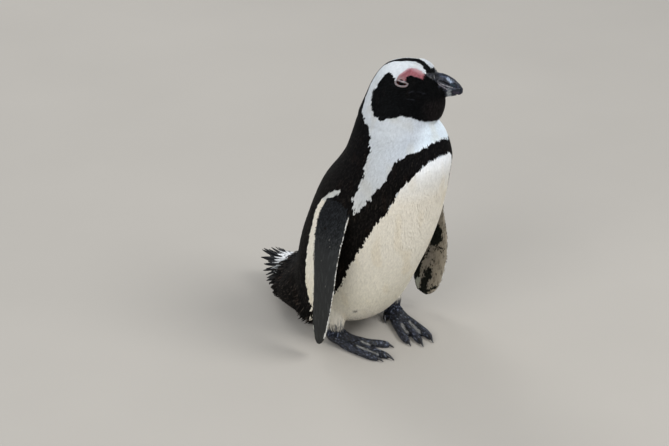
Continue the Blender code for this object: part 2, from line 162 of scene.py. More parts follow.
def ripple(points, wavelength, seed):
    """An uneven smooth value, mostly from -1 to 1, that changes over about the wavelength."""
    rng = np.random.default_rng(seed)
    total = np.zeros(len(points))
    for _ in range(7):
        heading = rng.normal(size=3)
        heading *= rng.uniform(0.6, 1.5) * 2 * math.pi / wavelength / np.linalg.norm(heading)
        total += np.sin(points @ heading + rng.uniform(0, 2 * math.pi))
    return total / 2.6


def inside(points, outline):
    """How far flat points lie inside a closed outline, in its own unit; below 0 outside it."""
    corners = np.array(outline, dtype=float)
    nearest = np.full(len(points), np.inf)
    crossings = np.zeros(len(points), dtype=int)
    for start, end in zip(corners, np.roll(corners, -1, axis=0)):
        line = end - start
        share = np.clip((points - start) @ line / (line @ line), 0, 1)
        nearest = np.minimum(nearest, np.linalg.norm(points - start - share[:, None] * line, axis=1))
        straddles = (start[1] > points[:, 1]) != (end[1] > points[:, 1])
        reach = start[0] + (points[:, 1] - start[1]) * line[0] / (line[1] if line[1] else 1.0)
        crossings += straddles & (points[:, 0] < reach)
    return np.where(crossings % 2 == 1, nearest, -nearest)


def table(value, rows):
    """A value looked up in rows of (at, value), in rising order."""
    at, values = zip(*rows)
    return np.interp(value, at, values)


def add_object(name, mesh):
    obj = bpy.data.objects.new(name, mesh)
    bpy.context.scene.collection.objects.link(obj)
    return obj


def from_bmesh(name, bm):
    mesh = bpy.data.meshes.new(name)
    bm.to_mesh(mesh)
    bm.free()
    mesh.shade_smooth()
    return add_object(name, mesh)


def settle(obj):
    """Turns an object's modifiers into its mesh."""
    graph = bpy.context.evaluated_depsgraph_get()
    shape = bpy.data.meshes.new_from_object(obj.evaluated_get(graph))
    obj.modifiers.clear()
    obj.data = shape


def modify(obj, kind, **settings):
    modifier = obj.modifiers.new(kind.lower(), kind)
    for key, value in settings.items():
        setattr(modifier, key, value)
    return modifier


def merged_copy(name, crease_above=None):
    """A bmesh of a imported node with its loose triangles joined; sharp edges may be creased."""
    bm = bmesh.new()
    bm.from_mesh(frame["nodes"][name].data)
    bmesh.ops.remove_doubles(bm, verts=bm.verts, dist=1e-6)
    bmesh.ops.recalc_face_normals(bm, faces=bm.faces)
    if crease_above is not None:
        creases = bm.edges.layers.float.new("crease_edge")
        for edge in bm.edges:
            if edge.calc_face_angle(math.pi) > crease_above:
                edge[creases] = 1.0
    return bm


def points_of(mesh):
    points = np.empty(len(mesh.vertices) * 3)
    mesh.vertices.foreach_get("co", points)
    return points.reshape(-1, 3)


def normals_of(mesh):
    normals = np.empty(len(mesh.vertices) * 3, dtype=np.float32)
    mesh.vertex_normals.foreach_get("vector", normals)
    return normals.reshape(-1, 3).astype(float)


def move_points(mesh, points):
    mesh.vertices.foreach_set("co", np.ascontiguousarray(points).ravel())
    mesh.update()


def triangles_of(mesh):
    mesh.calc_loop_triangles()
    corners = np.empty(len(mesh.loop_triangles) * 3, dtype=np.int32)
    mesh.loop_triangles.foreach_get("vertices", corners)
    return corners.reshape(-1, 3)


def corners_of(mesh):
    """The number of the point at each corner of a mesh's faces."""
    corners = np.empty(len(mesh.loops), dtype=np.int32)
    mesh.loops.foreach_get("vertex_index", corners)
    return corners


def evened(mesh, values, rounds):
    """Values of a mesh's points, each replaced by the mean of its neighbours, so many times."""
    edges = np.empty(len(mesh.edges) * 2, dtype=np.int32)
    mesh.edges.foreach_get("vertices", edges)
    first, second = edges[0::2], edges[1::2]
    count = np.bincount(edges, minlength=len(values)).astype(float)
    for _ in range(rounds):
        total = np.bincount(first, values[second], len(values))
        total += np.bincount(second, values[first], len(values))
        values = (values + total) / (1 + count)
    return values


def paint(mesh, name, values):
    """A colour or a number at each point of a mesh, for its material to read."""
    if values.ndim == 1:
        mesh.attributes.new(name, "FLOAT", "POINT").data.foreach_set("value", values)
        return
    colours = np.ones((len(values), 4))
    colours[:, :3] = values
    mesh.attributes.new(name, "FLOAT_COLOR", "POINT").data.foreach_set("color", colours.ravel())


# ------------------------------------------------------------------ the markings
# All in centimetres of the bird's own frame. The trunk's and neck's borders are given at heights, as
# the angle round an axis that leans with the body, from 0 in front to 180 behind.
AXIS_FORWARD, AXIS_LEAN = -5.75, 0.366
BACK_BORDER = ((22.2, 72), (23.5, 76), (24.7, 80), (25.8, 78), (28.0, 83.5), (30.6, 101), (32.8, 128),
               (33.8, 145), (34.6, 159), (35.5, 164))
BAND_UPPER = ((22.2, 72), (22.8, 69.5), (24.8, 62), (28.0, 56.5), (30.0, 63), (31.0, 51), (31.7, 28),
              (31.8, 0), (31.81, -9))
BAND_LOWER = ((6.9, 98), (7.0, 80), (8.2, 70), (10.0, 66), (12.3, 62.5), (14.6, 60), (17.6, 55.5),
              (19.7, 51.5), (22.0, 46.5), (23.4, 42), (26.9, 36), (28.6, 30), (29.8, 21), (30.1, 8),
              (30.15, 0), (30.16, -9))
FLANK_REAR = ((4.4, 95.5), (7.0, 99), (9.2, 104.5), (11.7, 108), (15.7, 112.5), (18.8, 116.5), (20.6, 119.5),
              (22.2, 116.5), (23.5, 110), (24.4, 104), (24.8, 99.5))
FLANK_FRONT = ((4.0, 60), (7.0, 78), (9.5, 80), (11.5, 83), (14.8, 90), (17.9, 96), (19.5, 99), (21.0, 104),
               (22.5, 106), (23.5, 102.5), (24.2, 97.5), (24.8, 96))
FACE_MASK = ((5.7, 39.4), (5.4, 39.35), (4.85, 39.5), (4.7, 39.9), (4.3, 40.3), (3.8, 40.45), (3.35, 40.0),
             (2.6, 38.8), (1.9, 37.6), (1.85, 36.55), (2.0, 35.55), (2.55, 34.85), (3.6, 34.4), (4.25, 34.7),
             (5.2, 35.0), (5.9, 35.2), (7.1, 35.0), (8.3, 34.65), (9.3, 34.4), (11.5, 34.3), (14.0, 36.0),
             (14.0, 41.2), (9.6, 41.0), (8.75, 40.85), (8.6, 40.6), (8.3, 40.55), (7.6, 40.75), (7.0, 40.9),
             (6.1, 40.6), (5.8, 40.1))
BARE_BROW = ((4.95, 39.45), (5.1, 40.0), (5.3, 40.4), (5.8, 40.8), (6.2, 41.12), (6.6, 41.25), (7.25, 41.25),
             (7.85, 41.05), (8.35, 40.8), (8.6, 40.5), (8.4, 39.95), (8.2, 40.15), (7.7, 40.3), (7.3, 40.35),
             (7.0, 40.45), (6.7, 40.4), (6.55, 40.1), (6.5, 39.45))
FEATHER_EDGE = ((36.8, 12.0), (37.35, 11.2), (37.7, 11.0), (38.15, 11.05), (38.65, 11.0), (38.85, 10.75),
                (39.15, 10.3), (39.4, 9.85), (39.9, 9.35), (40.15, 9.0), (40.45, 8.7), (41.2, 8.6))
# Lighter lines along the folds of the cheek, which are painted sheen, in centimetres forward and up: start, end
# and half-width of each.
CHEEK_CREASES = ((6.8, 38.4, 7.6, 38.65, 0.08), (7.6, 38.65, 8.9, 38.25, 0.08), (6.2, 37.6, 7.4, 37.5, 0.06))
NAPE_HALF = ((34.0, 3.6), (34.6, 2.55), (35.5, 2.0), (36.5, 1.6), (37.5, 1.4), (38.5, 1.1), (39.5, 0.8),
             (40.3, 0.5))
CROWN_HALF = ((2.0, 0.4), (3.9, 0.4), (4.9, 0.65), (5.9, 0.7), (6.8, 0.55), (7.4, 0.55), (8.1, 0.65),
              (8.5, 0.72), (9.0, 0.85))
CROWN_MIDDLE = ((4.9, 0.0), (5.6, 0.1), (6.8, 0.27), (7.2, 0.1), (7.6, -0.05), (8.1, -0.35), (8.5, -0.6),
                (9.0, -0.8))
# The white under the band and over it, by height. Under the band the white grows brighter and bluer towards the
# band, which is painted light on the breast's top, and is darker at the very bottom, which is painted shade
# under the belly. Over the band, the grey-blue white of the neck and face is painted shade under the head.
WHITE_BELOW_BAND = ((0.0, "#d3cdbc"), (3.5, "#f0e9d9"), (7.0, "#e9e3d1"), (15.0, "#eae4d5"),
                    (24.0, "#e9e2d3"), (27.0, "#efede7"), (30.0, "#f4f6f8"))
WHITE_ABOVE_BAND = ((22.0, "#cbccc9"), (28.0, "#c6cacd"), (31.0, "#c1c7cd"), (34.0, "#c2c8cf"),
                    (36.0, "#c8ced5"), (39.5, "#d0d7de"), (41.0, "#d9dfe6"))
BLACK_BY_HEIGHT = ((14.0, "#0b0908"), (24.0, "#0f0d0c"), (30.0, "#0a090a"), (35.0, "#08090a"))
# Single dark and dusty feathers of the white: side, forward, height and radius, then the colour.
SPOTS = ((-4.23, 1.3, 5.25, 0.42, "#3c3931"), (-3.17, 9.25, 20.3, 0.25, "#b5a288"),
         (3.9, 6.4, 12.5, 0.24, "#57534a"), (1.6, 9.9, 19.0, 0.2, "#5d594e"))


def round_axis(p):
    """The angle of points round the body's leaning axis, in degrees from the front."""
    return np.degrees(np.arctan2(np.abs(p[:, 0]), p[:, 1] - AXIS_FORWARD - AXIS_LEAN * p[:, 2]))


def body_black(p, ragged):
    """Which feathers of the trunk and neck are black."""
    angle = round_axis(p) + 1.4 * ragged[0]
    height = p[:, 2] + 0.12 * ragged[1]
    band_height = height + 0.45 * rise(p[:, 0], 0.0, 2.5)
    wedge = (height > 22.2) & (angle > table(band_height, BAND_UPPER)) & (angle < table(height, BACK_BORDER))
    calm = round_axis(p) + 0.5 * ragged[0]
    flank = (p[:, 2] < 24.7) & (calm > table(p[:, 2], FLANK_FRONT)) & (calm < table(p[:, 2], FLANK_REAR))
    return (angle > table(height, BAND_LOWER)) & ~wedge & ~flank


def head_black(p, ragged):
    """Which feathers of the head are black: the face's mask, the crown's stripe and the nape."""
    ahead, height = p[:, 1] + 0.07 * ragged[0], p[:, 2] + 0.08 * ragged[1]
    mask = inside(np.stack((ahead, height), axis=1), FACE_MASK) > 0
    crown = (height > 40) & (ahead > 2.0) & (
        np.abs(p[:, 0] - table(ahead, CROWN_MIDDLE)) < table(ahead, CROWN_HALF) + 0.08 * ragged[0])
    nape = (ahead < 3.2) & (np.abs(p[:, 0]) < table(height, NAPE_HALF) + 0.1 * ragged[0])
    return mask | crown | nape


def bare_brow(p):
    """How far inside the bare patch over the eye points lie, in centimetres."""
    return np.where(np.abs(p[:, 0]) > 0.9, inside(p[:, 1:], BARE_BROW), -9.0)


def beyond_feathers(p):
    """How far forward of the feathers' edge at the bill points lie, in centimetres."""
    edge = table(p[:, 2], FEATHER_EDGE)
    return p[:, 1] - np.where(p[:, 2] > 40.0, np.maximum(edge, 9.4 - 0.55 * np.abs(p[:, 0])), edge)


def ramp(value, rows):
    """A colour looked up in rows of (at, hex)."""
    at = [row[0] for row in rows]
    colours = np.array([linear(row[1]) for row in rows])
    return np.stack([np.interp(value, at, colours[:, i]) for i in range(3)], axis=1)


# ------------------------------------------------------------------ the flippers' own frame
# Rows from the shoulder to the tip: side, forward, height, chord, and turn of the leading edge in degrees.
FLIPPER_TOP = 0.2480
FLIPPER_ROWS = {
    -1: ((0.0630, 0.0200, FLIPPER_TOP, 0.0340, 0.0), (0.0815, 0.0215, 0.2255, 0.0460, -8.0),
         (0.0940, 0.0215, 0.1980, 0.0510, -6.0), (0.1015, 0.0210, 0.1600, 0.0530, 4.0),
         (0.1035, 0.0195, 0.1220, 0.0525, 9.0), (0.1035, 0.0150, 0.0860, 0.0475, 11.0),
         (0.1020, 0.0085, 0.0520, 0.0390, 11.0), (0.1000, 0.0025, 0.0310, 0.0250, 11.0),
         (0.0990, -0.0010, 0.0215, 0.0080, 11.0)),
    1: ((0.0630, 0.0200, FLIPPER_TOP, 0.0340, 0.0), (0.0815, 0.0170, 0.2255, 0.0460, -5.0),
        (0.0935, 0.0100, 0.1980, 0.0510, 0.0), (0.0995, 0.0045, 0.1600, 0.0530, 8.0),
        (0.1035, 0.0060, 0.1220, 0.0525, 16.0), (0.1058, 0.0028, 0.0860, 0.0515, 20.0),
        (0.1060, -0.0032, 0.0520, 0.0460, 21.0), (0.1043, -0.0080, 0.0335, 0.0345, 21.0),
        (0.1033, -0.0125, 0.0235, 0.0165, 21.0)),
}
# Dark blotches of a flipper's inner face, and one thin painted shadow, (152, -2, 178, -13, 1.5), where the
# flipper meets the belly's edge, in millimetres down from the shoulder and forward of its middle line: start,
# end and half-width of each.
INNER_BLOTCHES_AND_SHADOW = (
    (108, -16, 114, -4, 7.0), (117, 9, 135, 4, 10.5), (149, 6, 145, 16, 1.9), (147, 20, 148, 20, 1.4),
    (152, 17, 153, 18, 1.3), (152, -2, 178, -13, 1.5), (174, -19, 205, -19, 7.5), (184, 3, 194, 1, 3.8),
    (186, -8, 192, -4, 1.6), (194, 1, 208, -1, 5.6), (208, -1, 221, 0, 5.4), (223, -8, 227, 6, 5.5),
    (219, 10, 211, 16, 2.2), (166, 4, 167, 4, 1.5), (170, 7, 171, 8, 1.0), (178, 4, 178, 5, 1.3),
    (189, 13, 190, 13, 1.2), (207, 10, 208, 13, 1.1))
OUTER_FLECKS = ((62, 6), (70, 9), (128, 9), (96, -4))      # pale specks of the outer face, the same way
FLECK_RADIUS = 0.9
SLATE_BY_LENGTH = ((0.0, "#17181a"), (0.2, "#222426"), (0.4, "#353636"), (1.0, "#393937"))
PALE_BY_CHORD = ((-24.0, "#aea89a"), (0.0, "#a59c8f"), (12.0, "#b1a694"), (24.0, "#c4b9a7"))


def on_flipper(points, hand):
    """Share of a flipper's length from the shoulder, and place on its chord from -1 behind to 1 in front."""
    local = (points - FEET_CENTRE) * (1, -1, 1)
    rows = np.array(FLIPPER_ROWS[hand])[::-1]
    side, forward, width, swing = (np.interp(local[:, 2], rows[:, 2], rows[:, i]) for i in (0, 1, 3, 4))
    across, ahead = local[:, 0] - hand * side, local[:, 1] - forward
    chord = across * hand * np.sin(np.radians(swing)) + ahead * np.cos(np.radians(swing))
    return (FLIPPER_TOP - local[:, 2]) / (FLIPPER_TOP - rows[0, 2]), chord / (width / 2)


def chord_on_own_side(points):
    """Place of points on the chord of the flipper of their own side of the body."""
    return np.where(points[:, 0] > FEET_CENTRE[0], on_flipper(points, 1)[1], on_flipper(points, -1)[1])


def capsule_gap(down, ahead, blotch):
    """How far flat points lie outside a blotch, a thick line with round ends; below 0 inside it."""
    down0, ahead0, down1, ahead1, radius = blotch
    long, wide = down1 - down0, ahead1 - ahead0
    share = np.clip(((down - down0) * long + (ahead - ahead0) * wide) / (long * long + wide * wide), 0, 1)
    return np.hypot(down - down0 - share * long, ahead - ahead0 - share * wide) - radius


def flipper_colour(points, normals, hand):
    """Slate outside with a white leading edge, pale and blotched inside, scalloped behind."""
    length, chord = on_flipper(points, hand)
    ragged = ripple(points, 0.0055, 31) + 0.5 * ripple(points, 0.0028, 35)
    facing = normals @ np.array((hand, 0.0, 0.0))
    outer = facing > -0.05
    slate = ramp(length, SLATE_BY_LENGTH)
    slate = blend(slate, slate * 1.35, rise(ripple(points * (1, 1, 0.2), 0.0040, 36), 0.3, 1.2))
    rows = np.array(FLIPPER_ROWS[hand])[::-1]
    down = length * (FLIPPER_TOP - rows[0, 2])
    half = np.interp(FLIPPER_TOP - down, rows[:, 2], rows[:, 3]) / 2
    down, ahead = down * 1000, chord * half * 1000
    pale = ramp(ahead, PALE_BY_CHORD)
    pale = blend(pale, pale * 0.55, rise(ripple(points * (1, 1, 0.5), 0.0035, 32), 0.0, 1.4))
    # Dark where a blotch lies, and along the thin painted shadow by the belly's edge.
    gap = np.min([capsule_gap(down, ahead, blotch) for blotch in INNER_BLOTCHES_AND_SHADOW], axis=0)
    torn = 1.2 * ragged + 0.9 * ripple(points * (1, 1, 0.35), 0.0021, 37)
    dark = (gap + torn < 0) | ((length < 0.42) & (ragged > -0.2) & (chord < 0.4)) | (chord < -0.97)
    rim = (chord < -0.42) & (length > 0.90)
    pale = np.where(rim[:, None], linear("#c9cbbd"), pale)
    inner = np.where((dark & ~(rim & (gap > -3)))[:, None], linear("#22231e"), pale)
    colours = np.where(outer[:, None], slate, inner)
    edge = (chord > 0.945 + 0.005 * ragged) & (facing < 0.985) & (facing > -0.7)
    edge &= (length > 0.14) & (length < 0.93)
    fringe = (chord < -0.93) & outer & (ripple(points, 0.0032, 34) > 0.15) & (length > 0.3) & (length < 0.9)
    fleck = np.min([np.hypot(down - at, ahead - place) for at, place in OUTER_FLECKS], axis=0)
    colours = np.where((outer & (fleck < FLECK_RADIUS))[:, None], linear("#7d7a74"), colours)
    return np.where((edge | fringe)[:, None], linear("#e6e5df"), colours)


# ------------------------------------------------------------------ the coat's colours
def coat_colours(points, normals, nodes):
    """The same markings for the skin and for every feather, from the place of each."""
    p = in_centimetres(points)
    ragged = (0.8 * ripple(points, 0.0105, 11) + 0.55 * ripple(points, 0.0030, 15),
              0.8 * ripple(points, 0.0105, 12) + 0.55 * ripple(points, 0.0033, 16))
    upper = (p[:, 2] > 22.2) & ((round_axis(p) > table(p[:, 2], BAND_LOWER)) | (p[:, 2] > 30))
    white = np.where(upper[:, None], ramp(p[:, 2], WHITE_ABOVE_BAND), ramp(p[:, 2], WHITE_BELOW_BAND))
    # Painted light: the breast's top, just under the band, is blended to bright blue-white. The bluish white
    # over the band, which is painted shade, is made a little warmer behind.
    breast = rise(p[:, 2], 29.5, 31.5) * rise(-p[:, 2], -35.0, -33.0) * rise(-round_axis(p), -62, -30)
    white = blend(white, linear("#eef8ff"), 0.9 * breast * upper)
    white = blend(white, white * (1.0, 0.985, 0.95), upper * rise(round_axis(p), 60, 100))
    white = blend(white, white * (0.97, 0.945, 0.90), rise(ripple(points * (1, 1, 0.3), 0.022, 13), 0.3, 1.5))
    soiled = rise(4.6 - p[:, 2], 0.0, 2.2) * rise(ripple(points * (1, 1, 0.12), 0.0035, 17), 0.1, 1.2)
    white = blend(white, linear("#5c6068"), 0.75 * soiled)
    black = ramp(p[:, 2], BLACK_BY_HEIGHT)
    black = blend(black, black * (1.7, 1.4, 1.25), rise(ripple(points * (1, 1, 0.3), 0.013, 14), 0.5, 1.5))
    high = p[:, 2] > 34.3
    is_black = np.where(high, head_black(p, ragged), body_black(p, ragged))
    vent = (p[:, 1] < -6.0) & (p[:, 2] < 3.4)
    ankle = are_in(nodes, *LEGS)
    is_black = (is_black | vent) & ~ankle
    crease = np.min([capsule_gap(p[:, 1], p[:, 2], mark) for mark in CHEEK_CREASES], axis=0)
    throat = rise(p[:, 1], 8.0, 10.0) * rise(38.0 - p[:, 2], 0.0, 1.6) * (p[:, 2] > 34)
    black = blend(black, linear("#1d1919"), 0.8 * throat)
    # Painted sheen: the black is lighter grey along the cheek's folds.
    black = blend(black, linear("#24252a"), 0.4 * rise(-crease + 0.05 * ragged[0], -0.06, 0.06))
    freckles = np.where(is_black, rise(ripple(points * (1, 1, 0.5), 0.0028, 19), 0.1, 1.6), 0)
    black = blend(black, linear("#2c2823"), 0.35 * freckles * rise(36 - p[:, 2], 0, 6))
    colours = np.where(is_black[:, None], black, white)
    # The leg's feathers turn dark blue-grey towards the foot. On the left leg the dark begins 1 cm higher,
    # which is painted shade.
    sock = p[:, 2] + 1.0 * (p[:, 0] < 0) + 0.35 * ripple(points * (1, 1, 0.3), 0.0022, 18)
    colours = blend(colours, linear("#2b2e36"), ankle * rise(-sock, -4.4, -2.6))
    for side, ahead, height, radius, code in SPOTS:
        gap = np.linalg.norm(p - (side, ahead, height), axis=1)
        colours = blend(colours, linear(code), rise(-gap, -radius * 1.4, -radius * 0.5) * ~is_black)
    for hand, flipper in ((-1, "flipper_right"), (1, "flipper_left")):
        mine = are_in(nodes, flipper)
        if mine.any():
            colours[mine] = flipper_colour(points[mine], normals[mine], hand)
    return colours


# ------------------------------------------------------------------ materials
def new_material(name):
    material = bpy.data.materials.new(name)
    material.use_nodes = True
    return material, material.node_tree, material.node_tree.nodes["Principled BSDF"]


def node(tree, kind, settings=None, **inputs):
    """Adds a node, sets it, and gives its sockets values or links."""
    made = tree.nodes.new("ShaderNode" + kind)
    for key, value in (settings or {}).items():
        setattr(made, key, value)
    for key, value in inputs.items():
        socket = made.inputs[int(key[1:]) if key[1:].isdigit() else key.replace("_", " ")]
        if isinstance(value, bpy.types.NodeSocket):
            tree.links.new(value, socket)
        else:
            socket.default_value = value
    return made


def shine(principled, **values):
    for key, value in values.items():
        principled.inputs[key.replace("_", " ")].default_value = value


def varied(tree, colour, coords, scale, low, high, detail=3.0, stretch=(1, 1, 1)):
    """A colour made lighter and darker by noise of that scale, between two factors."""
    mapped = node(tree, "Mapping", Vector=coords, Scale=stretch)
    noise = node(tree, "TexNoise", Vector=mapped.outputs[0], Scale=scale, Detail=detail)
    factor = node(tree, "MapRange", Value=noise.outputs["Fac"], s1=0.3, s2=0.7, s3=low, s4=high)
    toned = node(tree, "VectorMath", {"operation": "SCALE"}, s0=colour, Scale=factor.outputs[0])
    return toned.outputs[0], noise


def painted_material(name, scale, low, high, **how):
    """A material in its mesh's own colours, made uneven by noise; also the place and the noise themselves."""
    material, tree, surface = new_material(name)
    colour = node(tree, "Attribute", {"attribute_name": "coat_colour"}).outputs["Color"]
    place = node(tree, "TexCoord").outputs["Object"]
    toned, noise = varied(tree, colour, place, scale, low, high, **how)
    tree.links.new(toned, surface.inputs["Base Color"])
    return material, tree, surface, place, noise


def barbs(tree, scale, distortion):
    """The slanting barbs of a vane, from its own map."""
    vane_map = node(tree, "UVMap", {"uv_map": "barbs"}).outputs[0]
    return node(tree, "TexWave", {"wave_type": "BANDS", "bands_direction": "DIAGONAL"}, Vector=vane_map,
                Scale=scale, Distortion=distortion).outputs["Fac"]


def feather_material():
    """Contour feathers: stiff overlapping vanes of keratin. Matt, with a soft sheen at a low angle from
    the fine barbs, which are drawn at 0.5 mm because the real 0.1 mm ones would not show."""
    material, tree, skin, _, _ = painted_material("contour_feather_keratin", 420.0, 0.92, 1.06,
                                                  stretch=(1, 1, 0.25))
    bump = node(tree, "Bump", Height=barbs(tree, 3.0, 1.0), Strength=0.2, Distance=0.0001)
    tree.links.new(bump.outputs[0], skin.inputs["Normal"])
    shine(skin, Roughness=0.6, Specular_IOR_Level=0.04, Sheen_Weight=0.004, Sheen_Roughness=0.45)
    return material


def under_skin_material():
    """The skin under the plumage: downy feather bases in the same markings, without gloss."""
    material, tree, skin, _, noise = painted_material("feathered_skin_down", 300.0, 0.8, 1.0,
                                                      stretch=(1, 1, 0.3))
    bump = node(tree, "Bump", Height=noise.outputs["Fac"], Strength=0.5, Distance=0.0004)
    tree.links.new(bump.outputs[0], skin.inputs["Normal"])
    shine(skin, Roughness=0.8, Specular_IOR_Level=0.12)
    return material


def bare_skin_material():
    """Bare skin of the brow and lids: pink from blood close under it, finely wrinkled, a little moist."""
    material, tree, skin, place, _ = painted_material("bare_facial_skin", 700.0, 0.8, 1.15)
    pores = node(tree, "TexVoronoi", Vector=place, Scale=1500.0)
    bump = node(tree, "Bump", Height=pores.outputs["Distance"], Strength=0.6, Distance=0.0002)
    tree.links.new(bump.outputs[0], skin.inputs["Normal"])
    shine(skin, Roughness=0.5, Specular_IOR_Level=0.4, Subsurface_Weight=0.15, Subsurface_Scale=0.001)
    return material


FOOT_PALEST = (0.21, 0.21, 0.205)    # no worn place or painted glint of the foot is paler than this


def foot_skin_material():
    """Scaly skin of a seabird's foot: small flat scales, black with a blue-grey bloom in dry patches and as
    painted highlight on the ridges, pale worn lines on the webs, and painted highlights in short bright streaks
    along the toes. The scales are drawn 2.2 mm wide because the real 1 mm would not show."""
    material, tree, skin, place, _ = painted_material("scaled_foot_skin", 520.0, 0.3, 2.1, detail=4.0,
                                                      stretch=(1, 0.3, 1))
    toned = skin.inputs["Base Color"].links[0].from_socket
    scales = node(tree, "TexVoronoi", {"feature": "DISTANCE_TO_EDGE"}, Vector=place, Scale=450.0)
    seams = node(tree, "MapRange", Value=scales.outputs["Distance"], s1=0.02, s2=0.28, s3=0.35, s4=1.4)
    lit = node(tree, "VectorMath", {"operation": "SCALE"}, s0=toned, Scale=seams.outputs[0])
    # Painted highlights: sparse bright streaks along the toes.
    along_toes = node(tree, "Mapping", Vector=place, Scale=(1, 0.35, 1))
    glint_noise = node(tree, "TexNoise", Vector=along_toes.outputs[0], Scale=430.0, Detail=2.0)
    painted_glints = node(tree, "MapRange", Value=glint_noise.outputs["Fac"], s1=0.55, s2=0.65, s3=0.62, s4=5.0)
    lit = node(tree, "VectorMath", {"operation": "SCALE"}, s0=lit.outputs[0], Scale=painted_glints.outputs[0])
    lit = node(tree, "VectorMath", {"operation": "MINIMUM"}, s0=lit.outputs[0], s1=FOOT_PALEST)
    tree.links.new(lit.outputs[0], skin.inputs["Base Color"])
    bump = node(tree, "Bump", Height=scales.outputs["Distance"], Strength=1.0, Distance=0.0012)
    tree.links.new(bump.outputs[0], skin.inputs["Normal"])
    shine(skin, Roughness=0.38, Specular_IOR_Level=0.38)
    return material


def horn_material():
    """Horn of the bill: layered keratin plates, polished at the tip, with fine growth lines 0.6 mm apart."""
    material, tree, skin, place, noise = painted_material("bill_horn_keratin", 350.0, 0.7, 1.35)
    rough = node(tree, "MapRange", Value=noise.outputs["Fac"], s1=0.3, s2=0.7, s3=0.22, s4=0.42)
    tree.links.new(rough.outputs[0], skin.inputs["Roughness"])
    fine = node(tree, "TexNoise", Vector=place, Scale=1600.0, Detail=2.0)
    bump = node(tree, "Bump", Height=fine.outputs["Fac"], Strength=0.25, Distance=0.0002)
    tree.links.new(bump.outputs[0], skin.inputs["Normal"])
    shine(skin, Specular_IOR_Level=0.24, IOR=1.54)
    return material


def claw_material():
    """Claws: black horn, scratched dull and unevenly paler by sand."""
    material, tree, skin = new_material("claw_horn")
    place = node(tree, "TexCoord").outputs["Object"]
    toned, noise = varied(tree, (*linear("#16161a"),), place, 500.0, 0.7, 1.8)
    tree.links.new(toned, skin.inputs["Base Color"])
    bump = node(tree, "Bump", Height=noise.outputs["Fac"], Strength=0.3, Distance=0.0002)
    tree.links.new(bump.outputs[0], skin.inputs["Normal"])
    shine(skin, Roughness=0.36, IOR=1.54)
    return material


def eye_material():
    """A live eye: dark red-brown iris, uneven in tone, round a black pupil, under a wet clear cornea."""
    material, tree, skin = new_material("wet_cornea_over_iris")
    gaze = node(tree, "Attribute", {"attribute_name": "from_gaze"}).outputs["Fac"]
    ramp_node = node(tree, "ValToRGB", Fac=gaze)
    stops = ramp_node.color_ramp.elements
    stops[0].position, stops[0].color = 0.0, (*linear("#020202"), 1)
    stops[1].position, stops[1].color = 1.0, (*linear("#140c0b"), 1)
    for at, code in ((0.27, "#020202"), (0.30, "#240a08"), (0.5, "#2e0f0b"), (0.58, "#120605")):
        stop = stops.new(at)
        stop.color = (*linear(code), 1)
    place = node(tree, "TexCoord").outputs["Object"]
    toned, _ = varied(tree, ramp_node.outputs[0], place, 900.0, 0.7, 1.3)
    tree.links.new(toned, skin.inputs["Base Color"])
    shine(skin, Roughness=0.12, IOR=1.38, Specular_IOR_Level=0.07, Coat_Weight=0.04, Coat_Roughness=0.03)
    return material


def tail_material():
    """Tail quills: long stiff vanes with a raised shaft, black and worn paler at the edges."""
    material, tree, skin, _, _ = painted_material("tail_quill_keratin", 500.0, 0.75, 1.3)
    bump = node(tree, "Bump", Height=barbs(tree, 14.0, 1.5), Strength=0.4, Distance=0.0002)
    tree.links.new(bump.outputs[0], skin.inputs["Normal"])
    shine(skin, Roughness=0.5, Specular_IOR_Level=0.2)
    return material


FEATHER = feather_material()
UNDER_SKIN = under_skin_material()
BARE_SKIN = bare_skin_material()
FOOT_SKIN = foot_skin_material()
HORN = horn_material()
CLAW = claw_material()
EYE = eye_material()
TAIL = tail_material()


# ------------------------------------------------------------------ which node a point belongs to
def node_finder():
    """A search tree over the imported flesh, and the node of each of its faces."""
    corners, faces, owners = [], [], []
    for number, name in enumerate(NODES):
        mesh = frame["nodes"][name].data
        start = len(corners)
        corners.extend(vertex.co.copy() for vertex in mesh.vertices)
        faces.extend(tuple(start + i for i in face.vertices) for face in mesh.polygons)
        owners.extend([number] * len(mesh.polygons))
    return BVHTree.FromPolygons(corners, faces), np.array(owners)


FLESH_TREE, FACE_OWNER = node_finder()


def nodes_at(points):
    """The number of the node that each point lies nearest to."""
    return FACE_OWNER[[FLESH_TREE.find_nearest(point)[2] for point in points]]


# ------------------------------------------------------------------ the skin
SKIN_VOXEL = 0.00125
GROWTH = 0.0006                      # closes the thin cuts between the nodes before they are joined
SKIN_TRIANGLES = 150000
COAT_DEPTH = {"rump": 0.0026, "trunk": 0.0024, "neck": 0.0022, "head": 0.0011, "leg_left": 0.0012,
              "leg_right": 0.0012, "flipper_left": 0.0006, "flipper_right": 0.0006, "foot_left": 0.0,
              "foot_right": 0.0, "bill_upper": 0.0022, "bill_lower": 0.0022, "eye_left": 0.0013,
              "eye_right": 0.0013}


def joined_flesh():
    """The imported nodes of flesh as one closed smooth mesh, a little larger than they are."""
    whole = bmesh.new()
    for name in NODES:
        part = merged_copy(name, math.radians(50))
        rough = from_bmesh("rough_" + name, part)
        modify(rough, "SUBSURF", levels=1, render_levels=1)
        settle(rough)
        points = points_of(rough.data) + normals_of(rough.data) * GROWTH
        move_points(rough.data, points)
        whole.from_mesh(rough.data)
        bpy.data.objects.remove(rough)
    skin = from_bmesh("skin", whole)
    modify(skin, "REMESH", mode="VOXEL", voxel_size=SKIN_VOXEL)
    settle(skin)
    return skin


